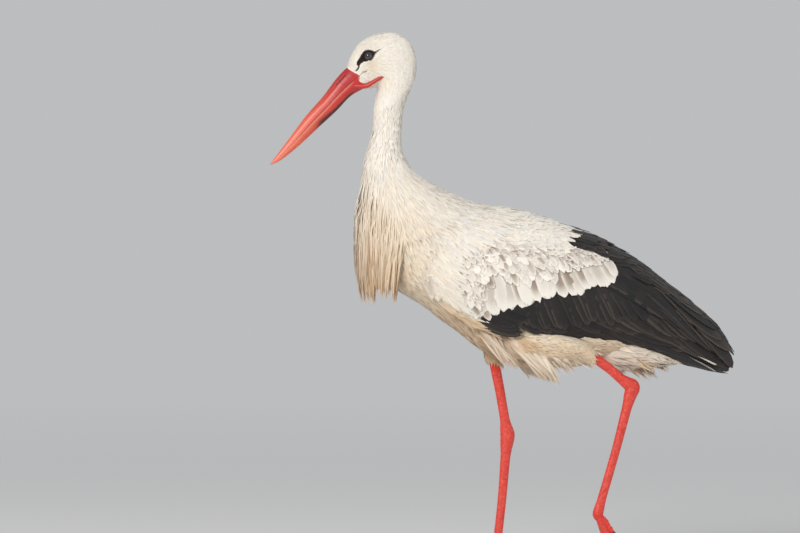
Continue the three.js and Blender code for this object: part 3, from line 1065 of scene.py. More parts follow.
@dataclass(frozen=True)
class HideFinish:
    """Bare skin, horn or scale: its own colours under a fine grain."""

    name: str
    rough: float
    grain: float  # cells or specks per metre
    depth: float
    relief: float  # metres
    cells: bool = False
    coat: float = 0.0
    gloss: float = 0.5
    stretch: tuple[float, float, float] = (1.0, 1.0, 1.0)
    turn: tuple[float, float, float] = (0.0, 0.0, 0.0)

    def material(self) -> bpy.types.Material:
        """Returns: the finish as a material."""
        sheet = Sheet(
            self.name,
            roughness=self.rough,
            specular_ior_level=self.gloss,
            coat_weight=self.coat,
            coat_roughness=0.3,
        )
        angles = [math.radians(angle) for angle in self.turn]
        turned = sheet.feed(sheet.add("ShaderNodeMapping"), Vector=sheet.place(), Rotation=angles)
        drawn = sheet.feed(sheet.add("ShaderNodeMapping"), Vector=turned.outputs[0], Scale=self.stretch)
        drawn = drawn.outputs[0]
        specks = relief = sheet.noise(drawn, self.grain, 4.0)
        if self.cells:
            edges = sheet.add("ShaderNodeTexVoronoi", feature="DISTANCE_TO_EDGE")
            sheet.feed(edges, Scale=self.grain, Vector=drawn)
            cells = sheet.math("SMOOTH_MIN", edges.outputs["Distance"], 0.12, 0.05)
            relief = sheet.math("MULTIPLY_ADD", cells, 6.0, sheet.math("MULTIPLY", specks, 0.3))
        # the colour follows the relief: the specks are the surface's own grain, and with cells the grooves
        # between them are darker, a painted shade
        sheet.tint(sheet.math("MULTIPLY_ADD", relief, self.depth, 1 - self.depth * 0.55))
        sheet.bump(relief, 0.6, self.relief)
        return sheet.material


@dataclass(frozen=True)
class EyeFinish:
    """A wet eye: near-black pupil in a dark brown iris under a clear coat."""

    name: str = "wet_eye"
    fibres: float = 1400.0  # per metre

    def material(self) -> bpy.types.Material:
        """Returns: the finish as a material."""
        sheet = Sheet(
            self.name,
            roughness=0.3,
            specular_ior_level=0.0,
            coat_weight=1.0,
            coat_roughness=0.02,
            coat_ior=1.85,
        )
        sheet.tint(sheet.math("MULTIPLY_ADD", sheet.noise(sheet.place(), self.fibres), 0.6, 0.7))
        return sheet.material


@dataclass(frozen=True)
class FloorFinish:
    """A plain pale floor that fades into the backdrop's own colour far from the bird."""

    name: str = "pale_floor"
    colour: tuple[float, float, float] = (0.80, 0.808, 0.816)
    near: float = 1.2  # metres from the middle where it starts to fade
    far: float = 5.0

    def material(self) -> bpy.types.Material:
        """Returns: the finish as a material."""
        sheet = Sheet(self.name, roughness=0.9, specular_ior_level=0.1)
        sheet.feed(sheet.shader, Base_Color=(*self.colour, 1))
        reach = sheet.feed(sheet.add("ShaderNodeVectorMath", operation="LENGTH"), Vector=sheet.place())
        fade = sheet.add("ShaderNodeMapRange", interpolation_type="SMOOTHSTEP")
        sheet.feed(fade, Value=reach.outputs["Value"], From_Min=self.near, From_Max=self.far)
        glow = sheet.feed(sheet.add("ShaderNodeEmission"), Color=(*Studio.BACKDROP, 1))
        seen = sheet.add("ShaderNodeLightPath").outputs["Is Camera Ray"]
        mixed = sheet.add("ShaderNodeMixShader")
        share = sheet.math("MULTIPLY", fade.outputs["Result"], seen)
        for source, target in zip((share, sheet.shader.outputs[0], glow.outputs[0]), mixed.inputs):
            sheet.put(source, target)
        sheet.feed(sheet.nodes["Material Output"], Surface=mixed.outputs[0])
        return sheet.material


class Finishes:
    """Every material of the bird, made once."""

    def __init__(self) -> None:
        """Makes the materials."""
        self.down = PlumageFinish("white_down", 0.9, 0.5, 0.10, 0.00015).material()
        self.plume = PlumageFinish("long_plume", 0.88, 0.6, 0.14, 0.0002).material()
        self.vane = PlumageFinish("white_vane", 0.8, 0.7, 0.12, 0.0002).material()
        self.flight = PlumageFinish("black_vane", 0.55, 0.9, 0.35, 0.0003, 0.06, 1.2).material()
        self.under = HideFinish("feathered_skin", 0.9, 900, 0.1, 0.0003).material()
        self.leg = HideFinish("leg_skin", 0.5, 420, 0.35, 0.0006, cells=True, coat=0.1).material()
        self.scute = HideFinish("leg_scute", 0.45, 1500, 0.3, 0.0002, coat=0.15).material()
        self.bare = HideFinish("mask_skin", 0.6, 1600, 0.5, 0.0005, gloss=0.12).material()
        streaks = {"stretch": (1.0, 0.12, 1.0), "turn": (47, 0, 0)}
        self.bill = HideFinish("bill_horn", 0.42, 260, 0.28, 0.0004, coat=0.12, **streaks).material()
        self.claw = HideFinish("claw_horn", 0.4, 700, 0.5, 0.0003, coat=0.2).material()
        self.eye = EyeFinish().material()
        self.floor = FloorFinish().material()


def settle(piece: bpy.types.Object, slot: str, *nodes: str) -> None:
    """Args: piece: to ride on the bird. slot: not used. nodes: what it stands for."""
    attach(piece, BODY)
    if nodes:
        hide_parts(*nodes)


def placed(name: str, data: bpy.types.ID) -> bpy.types.Object:
    """Args: name, data: of a new object. Returns: the object, in the scene."""
    thing = bpy.data.objects.new(name, data)
    bpy.context.scene.collection.objects.link(thing)
    return thing


def solid(name: str, points: Array, faces: list) -> bpy.types.Object:
    """Args: name: of the object. points: in metres. faces: of it. Returns: the object."""
    mesh = bpy.data.meshes.new(name)
    mesh.from_pydata([tuple(p) for p in points], [], faces)
    shape = bmesh.new()
    shape.from_mesh(mesh)
    bmesh.ops.recalc_face_normals(shape, faces=shape.faces)
    shape.to_mesh(mesh)
    shape.free()
    mesh.shade_smooth()
    return placed(name, mesh)


def applied(piece: bpy.types.Object) -> bpy.types.Object:
    """Args: piece: with live modifiers. Returns: the piece with them in its mesh."""
    shape = piece.evaluated_get(bpy.context.evaluated_depsgraph_get())
    mesh = bpy.data.meshes.new_from_object(shape)
    piece.modifiers.clear()
    old = piece.data
    piece.data = mesh
    bpy.data.meshes.remove(old)
    mesh.name = piece.name
    return piece


def united(pieces: list[bpy.types.Object]) -> bpy.types.Object:
    """Args: pieces: closed solids. Returns: their union, in the first."""
    whole = pieces[0]
    for other in pieces[1:]:
        union = whole.modifiers.new("union", "BOOLEAN")
        union.operation = "UNION"
        union.solver = "MANIFOLD"
        union.object = other
        whole = applied(whole)
        bpy.data.objects.remove(other)
    return whole


def mesh_points(mesh: bpy.types.Mesh) -> Array:
    """The mesh's points, (N, 3)."""
    flat = np.empty(len(mesh.vertices) * 3)
    mesh.vertices.foreach_get("co", flat)
    return flat.reshape(-1, 3)


def dress(piece: bpy.types.Object, colours: Array, *finishes: bpy.types.Material) -> None:
    """Args: piece: to be coloured. colours: (N, 3) for its points. finishes: its materials."""
    set_colours(piece.data, colours)
    piece.data.materials.clear()
    for finish in finishes:
        piece.data.materials.append(finish)


class Maker:
    """What makes pieces of the bird from its forms and its materials."""

    def __init__(self, plan: Plan, finishes: Finishes) -> None:
        """Args: plan: the bird's forms. finishes: its materials."""
        self.plan = plan
        self.finishes = finishes

    def shape(self, name: str, points: Array, faces: list) -> bpy.types.Object:
        """Args: name, points, faces: of a solid, in the lists' place. Returns: the object."""
        return solid(name, self.plan.metres(points), faces)


# ------------------------------------------------------------------ legs and skin


@dataclass(frozen=True)
class Toe:
    """A toe: bearing from straight ahead in degrees, length and radius at the root."""

    word: str
    bearing: float
    length: float
    radius: float


@dataclass(frozen=True)
class Leg:
    """One leg: its line, and how its foot stands."""

    side: Side
    thigh: tuple
    hock: tuple[float, float, float]
    ball: tuple[float, float, float]
    pitch: float  # of the front toes in degrees, 0 for a flat foot
    hind_pitch: float
    spread: float  # share of the toes' full bearings
    arch: float  # how far the tibia bows up
    plumes_end: float  # row of the thigh where its last feathers are rooted

    TOES = (
        Toe("inner", -32, 66, 4.9),
        Toe("middle", 2, 88, 5.2),
        Toe("outer", 34, 74, 4.9),
        Toe("hind", 172, 36, 4.5),
    )
    KNUCKLES = (1.15, 0.86, 1.0, 0.82, 0.94, 0.74)
    SHANK_RADII = (10.0, 8.5, 7.2, 7.3, 9.5, 11.0, 9.8, 7.5, 6.5, 6.6, 7.7, 8.3)
    SHANK_SQUEEZE = 0.8
    THIGH_RADII = (36, 33.5, 25, 14)
    THIGH_SQUEEZE = 0.85
    LEAST_FLESH = 9.5
    SLEEVE_RADII = (11, 10)
    CLAW_LENGTH = 14.0
    CLAW_RADIUS = 3.2

    def shank(self) -> Limb:
        """The bare leg from inside the thigh's feathers to the ball of the foot."""
        thigh, hock, ball = (np.array(p, float) for p in (self.thigh[-1], self.hock, self.ball))
        inner = np.array(self.thigh[-2], float)
        up, down = unit(thigh - hock), unit(ball - hock)
        points = [
            mix(thigh, inner, 0.6),
            thigh,
            mix(thigh, hock, 0.5) + (0, 0, self.arch),
            hock + up * 24,
            hock + up * 11,
            hock,
            hock + down * 13,
            hock + down * 32,
            mix(hock, ball, 0.5) + (0, 1, 0),
            ball - down * 24,
            ball - down * 9,
            ball,
        ]
        return Limb(points, list(self.SHANK_RADII), self.SHANK_SQUEEZE)

    def plumed(self, less: float = 0.0) -> Limb:
        """The feathered thigh, or the flesh in it with `less` taken off."""
        radii = [max(radius - less, self.LEAST_FLESH) for radius in self.THIGH_RADII]
        return Limb([np.array(p, float) for p in self.thigh], radii, self.THIGH_SQUEEZE)

    def sleeve(self) -> Limb:
        """The thigh and the top of the shank below it, for the thigh's feathers to lie on."""
        thigh = [np.array(p, float) for p in self.thigh]
        down = unit(np.array(self.hock, float) - thigh[-1])
        points = [*thigh, thigh[-1] + down * 20, thigh[-1] + down * 42]
        return Limb(points, [*self.THIGH_RADII, *self.SLEEVE_RADII], self.THIGH_SQUEEZE)

    def place(self, bearing: float, ahead: float, height: float) -> Array:
        """Args: bearing, ahead, height: a place of the flat standing foot. Returns: it in the pose."""
        hind = abs(bearing) > 90
        turn = math.radians(bearing * (1 if hind else self.spread))
        tilt = math.radians(-(self.hind_pitch if hind else self.pitch))
        x = self.side.value * ahead * math.sin(turn)
        y = -ahead * math.cos(turn)
        z = height - (0 if self.pitch else self.ball[2])
        turned = (x, y * math.cos(tilt) - z * math.sin(tilt), y * math.sin(tilt) + z * math.cos(tilt))
        return np.array(turned) + self.ball

    def toe_heights(self, toe: Toe) -> list[float]:
        """Heights of a toe's middle line from its root to its end."""
        low = toe.radius * 0.8
        if self.pitch:
            return [0, 1.5, 1, 0, -1, -2]
        return [self.ball[2] - 2, low + 2.6, low, low * 0.95, low * 0.9, low * 0.75]

    def digit(self, toe: Toe) -> Limb:
        """A toe without its claw."""
        heights = self.toe_heights(toe)
        step = (toe.length - 4) / (len(heights) - 1)
        points = [self.place(toe.bearing, 4 + step * i, height) for i, height in enumerate(heights)]
        return Limb(points, [share * toe.radius for share in self.KNUCKLES])

    def claw(self, toe: Toe) -> Limb:
        """A toe's claw."""
        end = self.toe_heights(toe)[-1]
        long, radius = self.CLAW_LENGTH, self.CLAW_RADIUS
        bend = ((-5, 0.9), (long * 0.3, 1.0), (long * 0.7, 0.2), (long, -1.5 if self.pitch else -2.1))
        points = [self.place(toe.bearing, toe.length + ahead, end + rise) for ahead, rise in bend]
        return Limb(points, [radius, radius * 0.92, radius * 0.6, 0.5], 0.78)

    def web(self, first: Toe, second: Toe) -> tuple[Array, list]:
        """Args: first, second: neighbouring toes. Returns: the small web between their roots."""
        edges = [(first.bearing, 5), (first.bearing, 21), ((first.bearing + second.bearing) / 2, 12)]
        edges += [(second.bearing, 21), (second.bearing, 5)]
        count, centre = len(edges), self.toe_heights(first)[1] - 0.8
        heights = (centre + 1.5, centre - 1.5)
        points = [self.place(bearing, ahead, height) for height in heights for bearing, ahead in edges]
        faces = [tuple(range(count))[::-1], tuple(range(count, 2 * count))]
        faces += [(i, j, count + j, count + i) for i, j in linked(count)]
        return np.array(points), faces


LEGS = (
    Leg(
        side=Side.LEFT,
        thigh=((26, -30, 376), (42, 24, 356), (49, 70, 345), (50, 106, 336)),
        hock=(46, 181, 283),
        ball=(44, 128, 92.8),
        pitch=-112.5,
        hind_pitch=50,
        spread=0.4,
        arch=2.6,
        plumes_end=2.95,
    ),
    Leg(
        side=Side.RIGHT,
        thigh=((-28, 6, 382), (-36, -4, 364), (-39, -11, 347), (-39, -14, 332)),
        hock=(-36, 7, 208),
        ball=(-28, -14, 12.6),
        pitch=0,
        hind_pitch=0,
        spread=1,
        arch=0,
        plumes_end=2.6,
    ),
)


class Skin(Maker):
    """The bird's one skin, from the bill's root to the toes."""

    VOXEL = 0.00115
    CORE = 0.78  # how far down the folded wing its flesh reaches
    LEG_REACH = 17.0  # how far from a leg's middle line its bare skin can lie
    LEG_TOP = 337.0  # under this height a leg is bare
    FOOT_TOP = 60.0
    RING = (11.2, 9.9)  # the dark ring's edge, outer and inner, from an eye's middle
    RING_FLOOR = 765.0  # it reaches no lower
    # painted shade: the skin under the coat is drawn a little darker than the coat's white
    SHADE = 0.95  # the skin's white against the coat's
    DARK_START = -70.0  # ahead of this no skin lies under black feathers
    WING_SPAN = (0.6, 9.2)  # rows of the folded wing that hold flesh
    WING_DEPTHS = ((0.6, 4, 7, 9.2), (9, 7, 7, 6.5))  # rows, and how deep it lies there
    BALL_RADII = (5.5, 8.2, 6.0)
    LESS_FLESH = 9.0  # how much slimmer the thigh's flesh is than its feathers
    LID = (  # profile of the swollen rim: from the eye's axis, and outward
        (11.0, -1.4), (9.9, 1.7), (8.9, 3.2), (8.2, 4.3), (7.8, 4.5), (7.4, 5.3), (6.9, 6.0), (6.45, 6.1),
        (6.1, 5.7), (5.7, 4.6), (5.2, 1.0), (8.0, -3.0),
    )
    LID_POINTS = 56

    def trunk(self) -> bpy.types.Object:
        """Head, neck and body as one tube."""
        spans = ((0, 9, 120), (9, 16, 60), (16, 29, 80))
        rows = np.unique(np.concatenate([np.linspace(*span) for span in spans]))
        return self.shape("skin", *self.plan.body.grid(rows, 112, -self.plan.depth(rows)))

    def folded_wings(self) -> bpy.types.Object:
        """The flesh and shafts inside the folded wings."""
        rows = np.linspace(*self.WING_SPAN, 70)
        depth = np.interp(rows, *self.WING_DEPTHS)
        return self.shape("skin_wings", *Plan.wing_rings(self.CORE).grid(rows, 80, -depth))

    def limbs(self) -> bpy.types.Object:
        """Both legs with feet, melted into one smooth form."""
        points, faces, total = [], [], 0
        for leg in LEGS:
            rear, front = leg.toe_heights(Leg.TOES[1])[:2]
            steps = ((-5, rear - 0.5), (0, 0 if leg.pitch else 9), (8, front))
            ball = [leg.place(0, ahead, height) for ahead, height in steps]
            parts = [
                leg.shank().grid(np.linspace(0, 11, 110), 28),
                leg.plumed(self.LESS_FLESH).grid(np.linspace(0, 3, 24), 28),
                Limb(ball, list(self.BALL_RADII)).grid(np.linspace(0, 2, 16), 18),
            ]
            parts += [leg.digit(toe).grid(np.linspace(0, 5, 60), 20) for toe in Leg.TOES]
            parts += [leg.web(Leg.TOES[i], Leg.TOES[i + 1]) for i in (0, 1)]
            for spots, sides in parts:
                points.append(spots)
                faces += [tuple(total + i for i in side) for side in sides]
                total += len(spots)
        piece = self.shape("skin_limbs", np.vstack(points), faces)
        remesh = piece.modifiers.new("melt", "REMESH")
        remesh.mode = "VOXEL"
        remesh.voxel_size = self.VOXEL
        smooth = piece.modifiers.new("smooth", "SMOOTH")
        smooth.factor = 0.5
        smooth.iterations = 4
        piece = applied(piece)
        spots = mesh_points(piece.data)
        spots[:, 2] = np.maximum(spots[:, 2], 0.0002)
        piece.data.vertices.foreach_set("co", spots.ravel())
        return piece

    def lids(self) -> list[bpy.types.Object]:
        """The swollen rims round the eyes."""
        pieces = []
        count = len(self.LID)
        rings = [
            (k * count + i, n * count + i, n * count + j, k * count + j)
            for k, n in linked(self.LID_POINTS)
            for i, j in linked(count)
        ]
        for side in Side:
            centre, ahead, level, rise = Eye.frame_of(side)
            points = []
            for k in range(self.LID_POINTS):
                angle = 2 * math.pi * k / self.LID_POINTS
                almond = 1 + 0.07 * math.cos(2 * (angle + math.radians(35)))
                for wide, high in self.LID:
                    reach = wide * (almond if wide < 9.5 else 1)
                    spot = centre + level * (math.cos(angle) * reach) + rise * (math.sin(angle) * reach)
                    points.append(spot + ahead * high)
            faces = rings if side is Side.LEFT else [face[::-1] for face in rings]
            pieces.append(self.shape(f"lid_{side.word}", np.array(points), faces))
        return pieces

    def bare_leg(self, points: Array) -> Array:
        """Args: points: of the skin, in the lists' place. Returns: whether each is bare leg."""
        bare, step = np.zeros(len(points), bool), 20000
        for leg in LEGS:
            line = leg.shank().at(np.linspace(1.1, 11, 60), np.zeros(60), -7.0)
            foot = [leg.place(toe.bearing, reach, 2) for toe in Leg.TOES for reach in range(10, 86, 15)]
            middle = np.vstack([line, foot])
            for start in range(0, len(points), step):
                part = points[start : start + step]
                gap = np.linalg.norm(part[:, None] - middle[None], axis=-1).min(1)
                bare[start : start + step] |= gap < self.LEG_REACH
        return bare & (points[:, 2] < self.LEG_TOP)

    def build(self) -> bpy.types.Object:
        """Returns: the finished skin."""
        skin = united([self.trunk(), self.folded_wings(), self.limbs(), *self.lids()])
        points = self.plan.listed(mesh_points(skin.data))
        colours = Markings.plumage(points) * self.SHADE
        colours[WingPlan.dark(points) & (points[:, 1] > self.DARK_START)] = Palette.BLACK
        bare = self.bare_leg(points)
        colours[bare] = Palette.LEG
        colours[bare & (points[:, 2] < self.FOOT_TOP)] = Palette.FOOT
        ring = ease(*self.RING, Eye.gap(points)) * (points[:, 2] > self.RING_FLOOR)
        patch = Markings.share_within(points, Markings.EYE_PATCH)
        mask = np.maximum(patch * (np.abs(points[:, 0]) > Markings.CHEEKBONE), ring)
        face_skin = Markings.share_within(points, Markings.BILL_FACE)
        for share, colour in ((mask, Palette.MASK), (face_skin, Palette.BILL_ROOT)):
            colours = mix(colours, colour, share[:, None])
        made = self.finishes
        dress(skin, colours, made.under, made.leg, made.bare, made.bill)
        kinds = np.where(face_skin > 0.5, 3, np.where(mask > 0.5, 2, np.where(bare, 1, 0)))
        for face in skin.data.polygons:
            face.material_index = int(kinds[face.vertices[0]])
            face.use_smooth = True
        nodes = ["head", "neck_upper", "neck_middle", "neck_lower", "trunk"]
        for side in Side:
            nodes += [f"{part}_{side.word}" for part in ("thigh", "tibia", "tarsus")]
            nodes += [f"toe_{toe.word}_{side.word}" for toe in Leg.TOES]
        settle(skin, "leg_skin", *nodes)
        log.info("skin: %d faces", len(skin.data.polygons))
        return skin


# ------------------------------------------------------------------ bill, eyes and claws


class Bill(Maker):
    """The bill: two mandibles parted along the cutting edge, nostrils and the rims of the gape."""

    EDGE = (
        (-200, 757), (-234, 750.5), (-240, 745.5), (-253.5, 733.5), (-267, 720), (-277, 709),
        (-301, 684.5), (-330, 653), (-370, 613),
    )
    NOSTRIL = ((-251.5, 753), (-264, 739.5))
    GROOVE = ((-264, 739.5), (-276, 725.5), (-288, 711.5))
    GAPE = (
        (7.8, -243, 737.5), (11.2, -230, 736.6), (14.4, -219, 737.6), (17.4, -211.5, 742),
        (19.6, -204, 747), (21.2, -197.5, 750.8), (22, -191, 752.8),
    )
    GAPE_RADII = (3.2, 3.9, 3.6, 3.1, 2.7, 2.1, 0.9)
    OVERBITE = 0.35
    OPENING = 0.92  # how near the back or front a ring can be parted, as a cosine
    LIP = 0.12  # how far the lower half lies under the upper
    CHORD = 13  # points across the flat where a ring is parted
    RIM_AWAY = 1.8  # from the nostril's line to its raised rim
    KEEL_AWAY = 0.75  # radians from the keel to the grooves beside it
    SLIT, SLIT_RIM, SIDE_GROOVE = (1.6, 0.75), (0.3, 0.6), (0.45, 1.3)  # heights and widths
    RIDGE, KEEL, CHIN_GROOVE = (0.5, 0.22), (0.4, 0.3), (0.35, 0.12)  # the same, widths in radians

    def __init__(self, plan: Plan, finishes: Finishes) -> None:
        """Args: plan, finishes: see Maker."""
        super().__init__(plan, finishes)
        edge = Line(self.EDGE).at(np.linspace(0, len(self.EDGE) - 1, 160))
        self.edge = edge[np.argsort(edge[:, 0])]

    def edge_height(self, ahead: Array) -> Array:
        """Args: ahead: places along Y. Returns: how high the cutting edge is there."""
        return np.interp(ahead, self.edge[:, 0], self.edge[:, 1])

    def split(self, rows: Array) -> Array:
        """Args: rows: of the bill. Returns: the turn at which each ring meets the cutting edge."""
        share = np.linspace(0, 1, 200)
        back, front = self.plan.bill.back.at(rows), self.plan.bill.front.at(rows)
        line = back[:, None] + (front - back)[:, None] * share[None, :, None]
        first = np.argmax(line[..., 1] < self.edge_height(line[..., 0]), axis=1)
        return np.arccos(np.clip(1 - 2 * share[first], -self.OPENING, self.OPENING))

    def mandible(self, upper: bool) -> tuple[Array, list]:
        """Args: upper: which half. Returns: its points and faces, closed at both ends."""
        spans = ((0, 4, 90), (4, 6.3, 100), (6.3, 7, 12))
        rows = np.unique(np.concatenate([np.linspace(*span) for span in spans]))
        turn = self.split(rows)[:, None]
        share = np.linspace(-1, 1, 81 if upper else 61)
        around = turn * share if upper else np.pi + (np.pi - turn) * share
        rings = rows[:, None] + 0 * share
        spots = self.plan.bill.at(rings, around)
        lip = np.abs(share) ** 14
        grown = self.OVERBITE if upper else -self.OVERBITE
        ramp = ease(0, 1.5, rows)[:, None]
        spots[..., 0] *= 1 + ramp * grown * lip / np.maximum(np.abs(spots[..., 0]), 1.0)
        normals = self.plan.bill.basis(rings, around)[2]
        if upper:
            nostril = Markings.away(spots[..., 1:], self.NOSTRIL)
            groove = hump(Markings.away(spots[..., 1:], self.GROOVE), self.SIDE_GROOVE)
            raised = hump(around, self.RIDGE) * ramp + hump(nostril - self.RIM_AWAY, self.SLIT_RIM)
            relief = raised - hump(nostril, self.SLIT) - groove
        else:
            off_keel = around - np.pi
            groove = hump(np.abs(off_keel) - self.KEEL_AWAY, self.CHIN_GROOVE) * ramp
            relief = hump(off_keel, self.KEEL) * ramp - groove
        spots = spots + normals * relief[..., None]
        start, end = spots[:, -1], spots[:, 0]
        across = np.linspace(0, 1, self.CHORD)[1:-1]
        bridge = start[:, None] + (end - start)[:, None] * across[None, :, None]
        up = self.plan.bill.section(rows)[1]
        arch = (0.10 if upper else -0.05) * np.sin(np.pi * across)
        bridge = bridge + up[:, None] * arch[None, :, None]
        if not upper:
            bridge = bridge - unit(up)[:, None] * self.LIP
            spots[:, [0, -1]] -= unit(up)[:, None] * self.LIP
        loop = np.concatenate([spots, bridge], 1)
        points = np.vstack([loop.reshape(-1, 3), loop[[0, -1]].mean(1)])
        return points, ring_faces(*loop.shape[:2])

    def rims(self) -> list[bpy.types.Object]:
        """The red rims of the gape, one on each side."""
        pieces = []
        for side in Side:
            points = [(x * side.value, y, z) for x, y, z in self.GAPE]
            rim = Limb(points, list(self.GAPE_RADII)).grid(np.linspace(0, len(points) - 1, 60), 24)
            pieces.append(self.shape(f"rim_{side.word}", *rim))
        return pieces

    def paint(self, piece: bpy.types.Object) -> None:
        """Args: piece: coloured from deep red at the root to pale red at the tip."""
        points = self.plan.listed(mesh_points(piece.data))
        ahead, aside = points[:, 1], np.abs(points[:, 0])
        below = self.edge_height(ahead) - points[:, 2]
        from_root = ease(-236, -246, ahead)
        # painted shade: the nostril's slit is coloured black, as if it were deep
        nostril = 0.7 * bell(Markings.away(points[:, 1:], self.NOSTRIL), 0.8) * (aside > 3)
        chin = ease(9.5, 6.5, aside) * ease(-300, -285, ahead) * ease(-232, -245, ahead) * (below > 7)
        colour = mix(Palette.BILL_ROOT, Palette.BILL_TIP, ease(-245, -345, ahead)[:, None])
        for share, paint in (
            # a pale band just under the cutting edge: partly the horn's own paler colour, partly a painted
            # highlight
            (0.6 * bell(below - 3.4, 2.2) * from_root, Palette.BILL_EDGE),
            (0.5 * ease(-1.0, -5.0, below) * ease(-285, -250, ahead), Palette.BILL_DEEP),
            (0.75 * bell(below + 0.1, 0.8) * from_root * ease(-352, -300, ahead), Palette.BILL_PARTING),
            (nostril, 0),
            (0.85 * chin, 0),
        ):
            colour = mix(colour, paint, share[:, None])
        dress(piece, colour, self.finishes.bill)

    def build(self) -> None:
        """Makes and dresses both halves."""
        upper = self.shape("bill_upper_horn", *self.mandible(True))
        lower = united([self.shape("bill_lower_horn", *self.mandible(False)), *self.rims()])
        for piece, node in ((upper, "bill_upper"), (lower, "bill_lower")):
            self.paint(piece)
            settle(piece, "bill_horn", node)
            log.info("%s: %d faces", piece.name, len(piece.data.polygons))


class Eye(Maker):
    """The eyes, set behind the lids."""

    RADIUS = 8.6
    SINK = 1.4  # how much nearer the middle they lie than the frame's eyes
    AHEAD = (1.0, -0.17, 0.10)
    PUPIL = 3.0
    CORNEA = 5.4
    BULGE = 0.55
    AROUND, RINGS = 64, 39

    @classmethod
    def frame_of(cls, side: Side) -> tuple[Array, Array, Array, Array]:
        """Args: side: of the head. Returns: centre, outward, forward and upward of the eye."""
        x, y, z = Plan.EYE
        centre = np.array(((x - cls.SINK) * side.value, y, z))
        ahead = unit(np.array((cls.AHEAD[0] * side.value, cls.AHEAD[1], cls.AHEAD[2])))
        forward = np.array((0.0, -1.0, 0.0))
        forward = unit(forward - ahead * (ahead @ forward))
        return centre, ahead, forward, np.cross(forward, ahead) * side.value

    @classmethod
    def gap(cls, points: Array) -> Array:
        """How far points are from the nearer eye's middle."""
        return np.min([np.linalg.norm(points - cls.frame_of(side)[0], axis=1) for side in Side], axis=0)

    def build(self) -> None:
        """Makes and dresses both eyes."""
        tilt = np.linspace(0, math.pi, self.RINGS + 2)[1:-1]
        turn = np.linspace(0, 2 * math.pi, self.AROUND, endpoint=False)
        wide, high = np.sin(tilt) * self.RADIUS, np.cos(tilt) * self.RADIUS
        high = high + np.where(tilt < 1.2, self.BULGE * ease(self.CORNEA, 2.0, wide), 0)
        reach = np.append(np.repeat(wide, self.AROUND), (0.0, 0.0))
        front = np.append(np.repeat(high > 0, self.AROUND), (True, False))
        iris = Palette.IRIS * ease(self.PUPIL - 0.25, self.PUPIL + 0.35, reach)[:, None]
        colours = (iris + Palette.PUPIL) * (1 - 0.75 * ease(4.9, 5.9, reach)[:, None])
        colours[~front] = Palette.EYE_BACK
        for side in Side:
            centre, ahead, forward, rise = self.frame_of(side)
            spokes = forward * np.cos(turn)[:, None] + rise * np.sin(turn)[:, None]
            spots = centre + ahead * high[:, None, None] + wide[:, None, None] * spokes
            poles = np.array([centre + ahead * (self.RADIUS + self.BULGE), centre - ahead * self.RADIUS])
            points = np.vstack([spots.reshape(-1, 3), poles])
            piece = self.shape(f"eyeball_{side.word}", points, ring_faces(self.RINGS, self.AROUND))
            dress(piece, colours, self.finishes.eye)
            settle(piece, "eye", f"eye_{side.word}")


class Claws(Maker):
    """The eight claws: curved, tapering, and a little narrower than they are tall."""

    AROUND, RINGS = 18, 34

    def build(self) -> None:
        """Makes and dresses the claws, one piece for each."""
        share = np.append(np.repeat(np.linspace(0, 1, self.RINGS), self.AROUND), (0.0, 1.0))[:, None]
        colours = mix(Palette.CLAW_ROOT, Palette.CLAW_TIP, share)
        for leg in LEGS:
            for toe in Leg.TOES:
                spots, faces = leg.claw(toe).grid(np.linspace(0, 3, self.RINGS), self.AROUND)
                spots[:, 2] = np.maximum(spots[:, 2], 0.2)
                name = f"claw_{toe.word}_{leg.side.word}"
                piece = self.shape(f"horn_{name}", spots, faces)
                dress(piece, colours, self.finishes.claw)
                settle(piece, "claw_horn", name)


